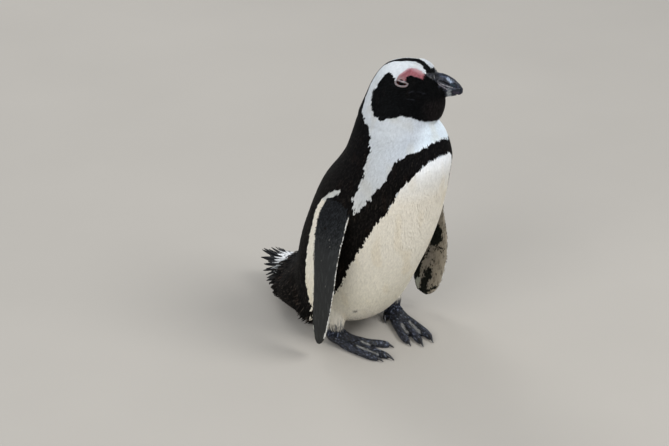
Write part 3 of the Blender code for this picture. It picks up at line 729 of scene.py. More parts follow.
def smooth_body(skin):
    """Smooths the broad forms of the trunk and neck strongly and the rest a little."""
    mesh = skin.data
    nodes = nodes_at(points_of(mesh))
    broad = are_in(nodes, "rump", "trunk", "neck").astype(float)
    broad = evened(mesh, broad, 6)
    group = skin.vertex_groups.new(name="broad")
    for level in range(1, 9):
        chosen = np.flatnonzero(np.round(broad * 8) == level)
        group.add(chosen.tolist(), level / 8, "REPLACE")
    modify(skin, "SMOOTH", factor=0.5, iterations=40, vertex_group="broad")
    modify(skin, "SMOOTH", factor=0.5, iterations=4)
    settle(skin)


BROW_RIDGE = (1.15, 0.42, 0.25)     # how far to the side, how wide and how high the brow's ridges are, in cm
CROWN_DIP = 0.06                    # how deep the forehead dips between them
# How deep bare skin lies under the solids: behind the feathers' edge at the bill, on top of the bill's
# root, in front of that edge, and on the brow; below 0 it stands out of them.
HIDDEN_HORN, HORN_ROOT, FACE_HORN, BROW_DEPTH = -0.0004, -0.0001, 0.0002, 0.0003
TAIL_HOLLOW = 0.0066                # how far the skin sinks in beside the tail's root, round this place
TAIL_HOLLOW_PLACE, TAIL_HOLLOW_SIZE = (5.6, -13.6, 5.6), (2.6, 2.4, 2.2)


def raise_brows(points, normals):
    """Points of the head moved out where the bare brows swell into low ridges, in metres."""
    p = in_centimetres(points)
    place, width, height = BROW_RIDGE
    ridge = np.exp(-((np.abs(p[:, 0]) - place) / width) ** 2) * rise(p[:, 2], 39.7, 40.5)
    ridge *= rise(p[:, 1], 6.2, 7.6) * rise(-p[:, 1], -9.2, -8.2)
    dip = np.exp(-(p[:, 0] / 0.35) ** 2) * rise(p[:, 2], 40, 40.4)
    dip *= rise(p[:, 1], 5.6, 6.6) * rise(-p[:, 1], -9.0, -8.0)
    return points + normals * ((height * ridge - CROWN_DIP * dip) / 100)[:, None]


def shrink_to_coat(skin):
    """Moves the skin in by the growth and by the depth of the coat over it."""
    mesh = skin.data
    points = raise_brows(points_of(mesh), normals_of(mesh))
    nodes = nodes_at(points)
    depths = np.array([COAT_DEPTH[name] for name in NODES])[nodes]
    p = in_centimetres(points)
    beyond = beyond_feathers(p)
    horn = are_in(nodes, *BILL)
    depths = np.where(horn & (beyond < 0), HIDDEN_HORN, depths)
    depths = np.where(horn & (beyond >= 0) & (p[:, 1] < 10.1) & (p[:, 2] > 38.9), HORN_ROOT, depths)
    depths = np.where(~horn & (beyond > 0) & (p[:, 2] > 36.5), FACE_HORN, depths)
    depths = np.where(bare_brow(p) > -0.05, BROW_DEPTH, depths)
    folded = np.stack((np.abs(p[:, 0]), p[:, 1], p[:, 2]), axis=1)
    beside_tail = np.linalg.norm((folded - TAIL_HOLLOW_PLACE) / TAIL_HOLLOW_SIZE, axis=1)
    depths += TAIL_HOLLOW * np.exp(-beside_tail ** 2)
    depths = evened(mesh, depths + GROWTH, 8)
    move_points(mesh, points - normals_of(mesh) * depths[:, None])


def thin_out(skin, count):
    """Brings the skin down to about so many triangles."""
    triangles = len(triangles_of(skin.data))
    modify(skin, "DECIMATE", ratio=min(1.0, count / triangles))
    settle(skin)


skin = joined_flesh()
smooth_body(skin)
shrink_to_coat(skin)
thin_out(skin, SKIN_TRIANGLES)
print("skin", len(skin.data.vertices), len(skin.data.polygons))

# ------------------------------------------------------------------ eyes and lids
# Centre of each eyeball and its half-open lids, in metres of the bird's own frame; the lid's ring is
# given on the eye's plane as half-width forward, then how far the edge stands above and below.
EYE_CENTRE = (0.0203, 0.0572, 0.3931)
EYE_RADIUS = 0.0080
EYE_AXIS = (0.962, 0.025, 0.27)      # square to the side of the face: out and a little up
LID_INNER = (0.0068, 0.0012, 0.0031)
LID_OUTER = (0.0095, 0.0036, 0.0061)
SLIT_SLOPE = 0.09
LID_POINTS = 64
LID_SECTION = 8
REFINED_REACH = (0.0170, 0.0140)     # how far round each eye the skin is cut finer, once and again
SOCKET_GAP = 0.0012                  # how far the socket lies behind the ball's front
FOLD_HEIGHT, FOLD_GROOVE = 0.0004, -0.0003        # the fold below the lids, and the groove inside it
# How far the lids swell out all round, how much more in front, and how far their inner face swells in.
LID_BULGE, LID_FRONT_BULGE, LID_BACK = 0.0006, 0.0003, 0.0010


def eye_centre(hand):
    """The centre of an eyeball in the model."""
    return to_model((hand * EYE_CENTRE[0],) + EYE_CENTRE[1:])[0]


def eye_axes(hand):
    """The eye's outward axis and the forward and upward directions of its plane, in the model."""
    out = Vector((hand * EYE_AXIS[0], EYE_AXIS[1], EYE_AXIS[2])).normalized()
    up = Vector((0, 0.065, 1))
    up = (up - out * up.dot(out)).normalized()
    ahead = up.cross(out) * hand
    if ahead.y < 0:
        ahead = -ahead
    vectors = np.array((out, ahead, up))
    return [Vector(v) for v in turned_vectors(vectors, np.full(3, EYE_CENTRE[2]))]


def lid_edge(shape, angle):
    """A point of a lid's edge on the eye's plane: flat above and rounder below."""
    half, above, below = shape
    sine = math.sin(angle)
    stands, power = (above, 0.62) if sine > 0 else (below, 0.9)
    return half * math.cos(angle), stands * math.copysign(abs(sine) ** power, sine)


def in_eye_plane(points, hand):
    """Points as distances ahead, up and out of an eye's centre."""
    out, ahead, up = eye_axes(hand)
    gaps = points - eye_centre(hand)
    return gaps @ np.array(ahead), gaps @ np.array(up), gaps @ np.array(out)


def ring_share(ahead, up, shape):
    """1 on a lid's edge, less inside it and more outside."""
    half, above, below = shape
    return np.hypot(ahead / half, up / np.where(up > 0, above, below))


def near_eye(places, hand, reach):
    """Which places lie in front of an eye's centre and within reach of its line of sight."""
    ahead, up, out = in_eye_plane(places, hand)
    return (np.hypot(ahead, up) < reach) & (out > 0.002)


def refine_round_eyes(skin):
    """Cuts the skin's triangles smaller round both eyes, so that the lids and brow can be shaped."""
    bm = bmesh.new()
    bm.from_mesh(skin.data)
    for reach in REFINED_REACH:
        places = np.array([vert.co for vert in bm.verts])
        near = near_eye(places, -1, reach) | near_eye(places, 1, reach)
        edges = [edge for edge in bm.edges if near[edge.verts[0].index] and near[edge.verts[1].index]]
        bmesh.ops.subdivide_edges(bm, edges=edges, cuts=1, use_grid_fill=True)
        bmesh.ops.triangulate(bm, faces=[face for face in bm.faces if len(face.verts) > 3])
        bm.verts.index_update()
        places = np.array([vert.co for vert in bm.verts])
        for hand in (-1, 1):
            bm.verts.ensure_lookup_table()
            chosen = [bm.verts[i] for i in np.flatnonzero(near_eye(places, hand, reach))]
            bmesh.ops.smooth_vert(bm, verts=chosen, factor=0.5,
                                  use_axis_x=True, use_axis_y=True, use_axis_z=True)
    bm.to_mesh(skin.data)
    bm.free()


def sink_eye_sockets(skin):
    """Lowers the skin under each eyeball and its lids, and raises the folds round them."""
    points = points_of(skin.data)
    for hand in (-1, 1):
        out_axis = np.array(eye_axes(hand)[0])
        ahead, up, out = in_eye_plane(points, hand)
        share = ring_share(ahead, up, LID_OUTER)
        ball = np.sqrt(np.maximum(EYE_RADIUS**2 - ahead**2 - up**2, 0))
        back_up = 0.80 - 0.24 * rise(up, 0.0, 0.001) * rise(0.006 - ahead, 0.0, 0.003)
        under = 1 - rise(share - back_up, 0.0, 0.24)
        sunk = np.minimum(out, out + (ball - SOCKET_GAP - out) * under)
        fold = FOLD_HEIGHT * np.exp(-((share - 1.35) / 0.16) ** 2) * (up < 0.001)
        groove = FOLD_GROOVE * np.exp(-((share - 1.12) / 0.10) ** 2) * (up < 0.001)
        change = np.where((out > 0.001) & (share < 2.2), sunk - out + fold + groove, 0)
        points += change[:, None] * out_axis
    move_points(skin.data, points)


def lid_ring(hand, skin_tree):
    """The two lids as one soft ring, from the eyeball out to the skin."""
    bm = bmesh.new()
    bmesh.ops.create_grid(bm, x_segments=LID_POINTS, y_segments=LID_SECTION, size=0.5)
    out_axis, ahead_axis, up_axis = eye_axes(hand)
    centre = Vector(eye_centre(hand))
    for vert in bm.verts:
        angle = (vert.co.x + 0.5) * 2 * math.pi
        around = (vert.co.y + 0.5) * 2
        share = around if around <= 1 else 2 - around
        inner, outer = lid_edge(LID_INNER, angle), lid_edge(LID_OUTER, angle)
        inner = inner[0], inner[1] * (1 - 0.25 * inner[0] / LID_INNER[0]) - SLIT_SLOPE * inner[0]
        ball = math.sqrt(EYE_RADIUS**2 - inner[0]**2 - inner[1]**2) + 0.0001
        from_outside = centre + ahead_axis * outer[0] + up_axis * outer[1] + out_axis * 0.03
        met = skin_tree.ray_cast(from_outside, -out_axis)[0]
        level = (met - centre).dot(out_axis) - (0.0002 if outer[1] < 0 else -0.0001)
        height = ball + (level - ball) * share
        if around <= 1:
            height += LID_BULGE * math.sin(math.pi * share) ** 0.7
            height += LID_FRONT_BULGE * max(math.cos(angle), 0) ** 4
        else:
            height -= LID_BACK * math.sin(math.pi * share)
        ahead = inner[0] + (outer[0] - inner[0]) * share
        up = inner[1] + (outer[1] - inner[1]) * share
        vert.co = centre + ahead_axis * ahead + up_axis * up + out_axis * height
    bmesh.ops.remove_doubles(bm, verts=bm.verts, dist=1e-6)
    bmesh.ops.recalc_face_normals(bm, faces=bm.faces)
    return bm


def tree_of(mesh):
    return BVHTree.FromPolygons([vertex.co for vertex in mesh.vertices],
                                [tuple(face.vertices) for face in mesh.polygons])


def eyeball(hand):
    """A round eyeball whose rings lie round the line of sight."""
    bm = bmesh.new()
    bmesh.ops.create_uvsphere(bm, u_segments=48, v_segments=32, radius=EYE_RADIUS)
    out_axis, ahead_axis, _ = eye_axes(hand)
    gaze = (out_axis + 0.14 * ahead_axis).normalized()
    centre = Vector(eye_centre(hand))
    place = Matrix.Translation(centre) @ Vector((0, 0, 1)).rotation_difference(gaze).to_matrix().to_4x4()
    bmesh.ops.transform(bm, matrix=place, verts=bm.verts)
    obj = from_bmesh("eyeball_" + ("left" if hand > 0 else "right"), bm)
    gaps = unit(points_of(obj.data) - np.array(centre))
    paint(obj.data, "from_gaze", np.arccos(np.clip(gaps @ np.array(gaze), -1, 1)) / (math.pi / 2))
    obj.data.materials.append(EYE)
    return obj


# ------------------------------------------------------------------ colours of bare skin
BROW_TOP = ((5.3, 40.3), (6.6, 41.25), (8.6, 40.6))       # the paler upper edge of the bare brow


def foot_colour(points, hollow):
    """Black scaled skin, blue-grey in dry patches, bluer on its ridges and blacker in its folds as painted
    highlight and shade, with pale lines of sand down in the webs' folds.
    """
    # Painted highlight and shade: lighter where the skin bulges out, darker where it folds in, mixed with
    # uneven patches.
    colours = blend(plain("#0e1015", len(points)), linear("#2e323e"),
                    rise(ripple(points, 0.0045, 43) - 0.6 * hollow, -0.2, 1.4))
    dusty = rise(hollow + 0.35 * ripple(points * (1, 0.35, 1), 0.0045, 41), 1.05, 2.0)
    dusty *= rise(points[:, 2], 0.002, 0.005)
    return blend(colours, linear("#b4b3af"), 0.8 * dusty)


def skin_colours(points, normals, nodes, hollow):
    """The coat's markings, with bare skin on the brow and lids, and feet; hollow is above 0 in folds."""
    colours = coat_colours(points, normals, nodes)
    p = in_centimetres(points)
    brow = bare_brow(p)
    pink = blend(plain("#804249", len(points)), linear("#96565e"),
                 rise(ripple(points, 0.004, 44), -0.2, 1.2))
    pink = blend(pink, linear("#8a7170"), rise(6.9 - p[:, 1], 0.3, 1.6) * rise(40.6 - p[:, 2], 0.0, 0.8))
    pink = blend(pink, linear("#bd9da1"), 0.6 * rise(p[:, 2] - table(p[:, 1], BROW_TOP), -0.25, 0.1))
    colours = blend(colours, pink, rise(brow, -0.05, 0.06))
    feet = are_in(nodes, *FEET)
    if feet.any():
        colours[feet] = foot_colour(points[feet], hollow[feet])
    horn = horn_skin(points, nodes)
    colours[horn] = blend(plain("#0b0c11", int(horn.sum())), linear("#2a2c38"),
                          rise(ripple(points[horn] * (1, 1, 2.5), 0.0035, 46), 0.1, 1.6))
    return colours


def horn_skin(points, nodes):
    """Where the skin is the bill's horn: all in front of the feathers' edge."""
    p = in_centimetres(points)
    face = are_in(nodes, "head", *BILL)
    return face & (beyond_feathers(p) > 0) & (p[:, 1] > 8.0) & (p[:, 2] > 36.5)


FOLD_DEPTH = 0.00035                 # how far the skin must sink below its surroundings to count as a fold


def finish_skin(skin):
    """Refines the head, adds the lids, and gives the skin its colours and materials."""
    refine_round_eyes(skin)
    sink_eye_sockets(skin)
    tree = tree_of(skin.data)
    whole = bmesh.new()
    whole.from_mesh(skin.data)
    body_count = len(whole.verts)
    for hand in (-1, 1):
        ring = lid_ring(hand, tree)
        loose = bpy.data.meshes.new("lids")
        ring.to_mesh(loose)
        ring.free()
        whole.from_mesh(loose)
    whole.to_mesh(skin.data)
    whole.free()
    skin.data.shade_smooth()
    points, normals = points_of(skin.data), normals_of(skin.data)
    nodes = nodes_at(points)
    eased = np.stack([evened(skin.data, points[:, axis], 14) for axis in range(3)], axis=1)
    hollow = np.sum((eased - points) * normals, axis=1) / FOLD_DEPTH
    colours = skin_colours(points, normals, nodes, hollow)
    lids = np.arange(len(points)) >= body_count
    tone = blend(plain("#8f8384", len(points)), linear("#786a6c"),
                 rise(ripple(points, 0.003, 45), 0, 1.4))
    colours[lids] = tone[lids]
    paint(skin.data, "coat_colour", colours)
    for material in (UNDER_SKIN, BARE_SKIN, FOOT_SKIN, HORN):
        skin.data.materials.append(material)
    bare = (bare_brow(in_centimetres(points)) > 0) | lids
    feet = are_in(nodes, *FEET) & ~lids
    kinds = np.where(feet, 2, np.where(bare, 1, np.where(horn_skin(points, nodes), 3, 0)))
    first = np.empty(len(skin.data.polygons), dtype=np.int32)
    skin.data.polygons.foreach_get("loop_start", first)
    skin.data.polygons.foreach_set("material_index", kinds[corners_of(skin.data)[first]].astype(np.int32))
    return tree


SKIN_TREE = finish_skin(skin)
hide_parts(*FLESH)
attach(skin, "root")
for hand, name in ((-1, "eye_right"), (1, "eye_left")):
    ball = eyeball(hand)
    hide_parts(name)
    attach(ball, "root")


# ------------------------------------------------------------------ the bill
BILL_FINE = 3
GROOVE = ((8.6, 40.15), (9.4, 39.95), (10.0, 39.72), (10.7, 39.62), (11.4, 39.35), (12.1, 39.05),
          (12.6, 38.7))
NOSTRIL = ((10.2, 39.72), (10.7, 39.62), (11.4, 39.32))
# Worn and pale places of the upper bill, and painted highlights and sheen of its glossy horn, in millimetres
# forward and up: start, end and half-width of each, then its colour and strength.
BILL_MARKS = (
    ((92.5, 399.0, 103.0, 391.8, 0.9), "#958e94", 0.85),
    ((103.0, 391.8, 112.0, 387.2, 0.8), "#958e94", 0.85),
    ((98.0, 396.5, 108.0, 391.5, 2.6), "#3c3a3e", 0.7),
    # A pale worn edge under the nostril, with a painted highlight along it:
    ((104.0, 393.4, 112.0, 391.2, 0.7), "#aeabb0", 0.85),
    ((112.0, 391.2, 119.0, 389.6, 0.8), "#a3a1a6", 0.85),
    # A bluish-white painted highlight, then a painted blue sheen along the culmen:
    ((111.0, 400.5, 117.0, 396.5, 2.4), "#a6b3c7", 0.85),
    ((101.0, 402.5, 110.0, 401.5, 1.2), "#464e61", 0.7),
    ((111.0, 388.0, 129.0, 388.4, 0.5), "#6f7279", 0.6),
    ((117.0, 394.0, 120.0, 392.0, 2.0), "#1f3440", 0.7),
    ((121.0, 384.0, 128.0, 382.0, 2.0), "#332c38", 0.7))


TIP_FROM = 0.1285                    # in front of this the bill's edges are worn smooth
LINE_GAP = 0.22                      # between growth lines, in centimetres, as are all depths below
GROOVE_DEPTH, GROOVE_LIP, NOSTRIL_DEPTH = 0.045, 0.030, 0.14
LINE_HEIGHT, ROOT_STEP, SEAM_DEPTH = 0.012, 0.045, 0.03
BAND_WIDTH = ((37.6, 0.55), (38.4, 0.55), (38.9, 0.4), (39.3, 0.0))
BAND_STRENGTH = ((37.6, 1.0), (38.45, 0.95), (38.7, 0.5), (39.1, 0.0))


def shaped_bill(part, name):
    """A half of the bill with its plates, nostril, growth lines and pale band."""
    bm = merged_copy(part, math.radians(52))
    creases = bm.edges.layers.float["crease_edge"]
    for edge in bm.edges:
        middle = (edge.verts[0].co + edge.verts[1].co) / 2
        if to_bird([middle])[0][1] > TIP_FROM:
            edge[creases] = 0.0
    obj = from_bmesh(name, bm)
    modify(obj, "SUBSURF", levels=BILL_FINE, render_levels=BILL_FINE)
    settle(obj)
    points = points_of(obj.data)
    normals = normals_of(obj.data)
    p = in_centimetres(points)
    flank = rise(np.abs(p[:, 0]), 0.12, 0.35)
    upper = part == "bill_upper"
    change = 0.010 * ripple(points, 0.0035, 51)
    groove_gap = p[:, 2] - table(p[:, 1], GROOVE)
    if upper:
        change -= GROOVE_DEPTH * np.exp(-(groove_gap / 0.055) ** 2) * flank * rise(12.7 - p[:, 1], 0, 0.6)
        change += GROOVE_LIP * np.exp(-((groove_gap - 0.16) / 0.10) ** 2) * flank
        slit = np.zeros(len(p))
        for (f0, z0), (f1, z1), width in zip(NOSTRIL, NOSTRIL[1:], (0.055, 0.08)):
            gap = capsule_gap(p[:, 1], p[:, 2], (f0, z0, f1, z1, 0.0))
            slit = np.maximum(slit, np.exp(-(gap / width) ** 2) * flank)
        change -= NOSTRIL_DEPTH * slit
        lines = np.cos((p[:, 2] - 39.0) * 2 * math.pi / LINE_GAP + 0.8 * ripple(points, 0.004, 52))
        change += LINE_HEIGHT * lines * rise(10.9 - p[:, 1], 0.0, 0.8) * rise(p[:, 2], 38.6, 38.8)
        change -= ROOT_STEP * rise(10.3 - p[:, 1], 0.0, 0.7) * rise(p[:, 2], 38.8, 39.2)
    else:
        seam = p[:, 2] - (38.05 - 0.10 * (p[:, 1] - 10))
        change -= SEAM_DEPTH * np.exp(-(seam / 0.05) ** 2) * flank * rise(11.7 - p[:, 1], 0, 0.5)
        slit = np.zeros(len(p))
    move_points(obj.data, points + normals * (change / 100)[:, None])
    wave = 0.06 * ripple(points, 0.003, 53)
    start = np.where(p[:, 2] > 38.45, 11.25, 11.15) + wave
    past_start = p[:, 1] - start
    before_end = start + table(p[:, 2], BAND_WIDTH) - p[:, 1]
    band = rise(past_start, -0.05, 0.08) * rise(before_end, -0.1, 0.06)
    colours = plain("#171a22", len(p))
    colours = blend(colours, linear("#343848"), 0.9 * rise(ripple(points, 0.006, 54), -0.2, 1.4))
    flat = p[:, 1:] * 10
    broken = 0.22 * ripple(points, 0.0022, 55)
    # Worn pale places, and painted highlights and sheen.
    for mark, code, strength in BILL_MARKS:
        share = rise(-capsule_gap(flat[:, 0], flat[:, 1], mark) / mark[4] + broken, 0.0, 1.0)
        colours = blend(colours, linear(code), strength * share * flank)
    band *= table(p[:, 2], BAND_STRENGTH) * (0.85 + 0.15 * ripple(points, 0.002, 56))
    colours = blend(colours, linear("#828688"), band)
    # Painted shade: the groove along the upper bill is darkened to near black, and the nostril's slit to black.
    if upper:
        deep = np.exp(-(groove_gap / 0.05) ** 2) * flank
        deep *= rise(p[:, 1], 9.3, 9.9) * rise(11.3 - p[:, 1], 0.0, 0.4)
        colours = blend(colours, linear("#050507"), 0.8 * deep)
    colours = blend(colours, linear("#020203"), rise(slit, 0.2, 0.55))
    paint(obj.data, "coat_colour", np.clip(colours, 0, 1))
    obj.data.materials.append(HORN)
    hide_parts(part)
    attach(obj, "root")


for bill_node in BILL:
    shaped_bill(bill_node, bill_node + "_sheath")


# ------------------------------------------------------------------ claws
for hand in ("left", "right"):
    for toe_name in ("inner", "middle", "outer", "hind"):
        claw_node = f"claw_{hand}_{toe_name}"
        claw = from_bmesh(claw_node + "_horn", merged_copy(claw_node))
        modify(claw, "SUBSURF", levels=2, render_levels=2)
        settle(claw)
        claw.data.shade_smooth()
        claw.data.materials.append(CLAW)
        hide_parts(claw_node)
        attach(claw, "root")


# ------------------------------------------------------------------ feathers
VANE_ROWS = ((0.0, 0.5, 0.08), (0.38, 1.0, 0.12), (0.76, 0.85, 0.09))
SCALE_ROWS = ((0.0, 0.6, 0.10), (0.6, 1.0, 0.13))
BILL_ROOT = (0.0, 10.0, 38.4)
LENGTH_FROM_BILL = ((1.0, 0.0026), (3.5, 0.0038), (7.0, 0.0058), (12.0, 0.0090), (18.0, 0.0110),
                    (30.0, 0.0125))
LEG_FEATHER, FLIPPER_FEATHER = 0.0070, 0.0038
SPACING, LEAST_SPACING, FLIPPER_SPACING = 0.132, 0.00095, 0.0012     # the first as a share of the length
EYE_MARGIN = 0.0009                  # the ring free of feathers is this much longer and farther forward
HALF_WIDTH, LEAST_HALF_WIDTH = 0.085, 0.00018     # again a share of the length, and metres
ROOT_DEPTH = 0.0003                  # how far a root sits in the skin
# The hem is the torn edge of the coat behind the legs, and the shag is loose feathers of the rump's edge.
HEM_EXTRA, HEM_SWAY = 1.7, (0, 0, -0.75)          # how much longer its feathers are, and how they hang
HEM_COLOUR_FROM = (0.0, 0.009, 0.0)               # they take the colour of the coat this far behind them
SHAG_REACH, SHAG_LIFT = 1.7, 0.0050               # a share of its length, and metres off the skin
FLIPPER_EDGE_REACH = 0.8             # the same share for feathers that hang off the flippers' hind edge
BLACK_BELOW = 0.03                   # feathers darker than this count as black, and may be worn and pale
TUFT_PATCH = 0.003                   # how wide each tuft lies on the map that its colours are kept in
LOWEST_FEATHER = 0.0003              # no feather comes closer to the ground than this
OVERSAMPLE = 5                       # how many places are tried for each feather that is kept


def vane(rows):
    """One feather as a closed blade along +Y: rows of (along, half width, height of its shaft)."""
    bm = bmesh.new()
    bmesh.ops.create_circle(bm, cap_ends=True, segments=3, radius=1)
    face = bm.faces[:][0]
    for number, (along, half, shaft) in enumerate(rows):
        if number:
            face = bmesh.ops.extrude_discrete_faces(bm, faces=[face])["faces"][0]
        for vert, place in zip(face.verts, ((-half, along, 0), (half, along, 0), (0, along, shaft))):
            vert.co = place
    tip = bmesh.ops.extrude_discrete_faces(bm, faces=[face])["faces"][0]
    bmesh.ops.pointmerge(bm, verts=list(tip.verts), merge_co=(0, 1, 0.02))
    bmesh.ops.holes_fill(bm, edges=bm.edges)
    bmesh.ops.recalc_face_normals(bm, faces=bm.faces)
    bmesh.ops.triangulate(bm, faces=bm.faces)
    bm.verts.index_update()
    points = np.array([vert.co for vert in bm.verts])
    faces = np.array([[vert.index for vert in f.verts] for f in bm.faces])
    bm.free()
    return points, faces


def coat_depths(nodes):
    """How far the coat stands off the skin at points of those nodes."""
    depths = np.array([COAT_DEPTH[name] for name in NODES])[nodes]
    return np.where(are_in(nodes, *BILL), 0.0008, depths)


class Coat:
    """The skin as arrays, for placing feathers on it."""

    def __init__(self, skin):
        mesh = skin.data
        self.points = points_of(mesh)
        self.normals = normals_of(mesh)
        self.faces = triangles_of(mesh)
        self.nodes = nodes_at(self.points)
        self.depths = evened(mesh, coat_depths(self.nodes), 10)
        corners = self.points[self.faces]
        first, second = corners[:, 1] - corners[:, 0], corners[:, 2] - corners[:, 0]
        self.areas = np.linalg.norm(np.cross(first, second), axis=1) / 2
        self.centres = corners.mean(axis=1)


def feather_length(p, nodes):
    """Length of the feathers at points given in centimetres, shortest by the bill and on the flippers."""
    length = table(np.linalg.norm(p - BILL_ROOT, axis=1), LENGTH_FROM_BILL)
    length = np.where(are_in(nodes, *LEGS), LEG_FEATHER, length)
    return np.where(are_in(nodes, *FLIPPERS), FLIPPER_FEATHER, length)


def bare_at(points, p, nodes):
    """Where no feather grows: feet, brow, lids, and under the bill."""
    feet = are_in(nodes, *FEET)
    horn = are_in(nodes, *BILL) & (p[:, 2] < 36.6)
    bare = feet | horn | horn_skin(points, nodes) | (bare_brow(p) > -0.10)
    for hand in (-1, 1):
        ahead, up, out = in_eye_plane(points, hand)
        clear = LID_OUTER[0] + EYE_MARGIN, LID_OUTER[1], LID_OUTER[2]
        bare |= (ring_share(ahead - EYE_MARGIN, up, clear) < 1.05) & (out > 0)
    return bare


def scatter(coat, seed):
    """Even but irregular places for feathers on the skin: face numbers and shares of the corners."""
    rng = np.random.default_rng(seed)
    p = in_centimetres(coat.centres)
    nodes = coat.nodes[coat.faces[:, 0]]
    spacing = np.maximum(feather_length(p, nodes) * SPACING, LEAST_SPACING)
    spacing = np.where(are_in(nodes, *FLIPPERS), FLIPPER_SPACING, spacing)
    weights = np.where(bare_at(coat.centres, p, nodes), 0, coat.areas / spacing**2)
    sums = np.cumsum(weights)
    count = int(sums[-1] * OVERSAMPLE)
    picks = np.searchsorted(sums, rng.random(count) * sums[-1])
    u, v = rng.random(count), rng.random(count)
    flip = u + v > 1
    u[flip], v[flip] = 1 - u[flip], 1 - v[flip]
    shares = np.stack((1 - u - v, u, v), axis=1)
    places = np.einsum("nk,nkd->nd", shares, coat.points[coat.faces[picks]])
    gaps = spacing[picks].tolist()
    tree = KDTree(count)
    listed = places.tolist()
    for i, place in enumerate(listed):
        tree.insert(place, i)
    tree.balance()
    taken = bytearray(count)
    kept = []
    for i in range(count):
        if taken[i]:
            continue
        kept.append(i)
        for _, other, _ in tree.find_range(listed[i], gaps[i]):
            taken[other] = 1
    kept = np.array(kept)
    return picks[kept], shares[kept]


# Which way the feathers point, as side, forward and up; over the head they point away from LIE_FROM.
LIE_FROM = (0.0, 10.2, 38.4)
DOWN_BODY, UNDER_BODY, TO_TAIL = (0.0, -0.36, -1.0), (0.0, -1.1, 0.25), (0.0, -1.0, -0.42)
DOWN_LEG, DOWN_FLIPPER, OFF_FLIPPER = (0.0, -0.15, -1.0), (0.0, -0.22, -1.0), (0.0, -1.0, -0.75)


def lie_of_coat(p, nodes, normals):
    """Which way the feathers point: back over the head, down the body, to the tail, along the flippers."""
    from_bill = p - LIE_FROM
    down = np.array(DOWN_BODY) + rise(7.5 - p[:, 2], 0, 5.0)[:, None] * UNDER_BODY
    down = blend(down, np.array(TO_TAIL), rise(-9.5 - p[:, 1], 0, 4.0))
    flow = blend(unit(from_bill), unit(down), rise(np.linalg.norm(from_bill, axis=1), 4.5, 9.0))
    wing = are_in(nodes, *FLIPPERS)
    flow = np.where(wing[:, None], DOWN_FLIPPER, flow)
    trailing = wing * rise(-chord_on_own_side(to_model(p / 100)), 0.72, 0.95)
    flow = blend(flow, np.array(OFF_FLIPPER), trailing)
    flow = np.where(are_in(nodes, *LEGS)[:, None], DOWN_LEG, flow)
    flow = turned_vectors(flow, p[:, 2] / 100)
    flat = flow - normals * np.sum(flow * normals, axis=1)[:, None]
    weak = np.linalg.norm(flat, axis=1) < 0.12
    spare = np.tile((0.0, 1.0, 0.0), (len(p), 1))
    spare -= normals * np.sum(spare * normals, axis=1)[:, None]
    return unit(np.where(weak[:, None], spare, flat))


def surface_at(points):
    """The nearest places of the skin to points, and its normals there."""
    found = [SKIN_TREE.find_nearest(point) for point in points]
    return np.array([hit[0] for hit in found]), np.array([hit[1] for hit in found])


def unwrap(p, normals, nodes):
    """The skin laid flat: round and down the body with its ends spread out, each leg round its own middle,
    and the two faces of each flipper side by side."""
    ahead = p[:, 1] - AXIS_FORWARD - AXIS_LEAN * p[:, 2]
    radius = np.hypot(p[:, 0], ahead)
    flat = np.stack((np.arctan2(p[:, 0], ahead), (p[:, 2] + normals[:, 2] * (7.0 - radius)) / 7.0), axis=1)
    for hand, side in ((-1, "right"), (1, "left")):
        wing, leg = are_in(nodes, "flipper_" + side), are_in(nodes, "leg_" + side)
        length, chord = on_flipper(to_model(p[wing] / 100), hand)
        inner = normals[wing, 0] * hand < -0.05
        flat[wing] = np.stack((chord + 2.4 * inner, length), axis=1)
        across, along, _ = (p[leg] - p[leg].mean(axis=0)).T
        flat[leg] = np.stack((np.arctan2(across, along) + 3.5 * hand, p[leg, 2]), axis=1)
    return flat


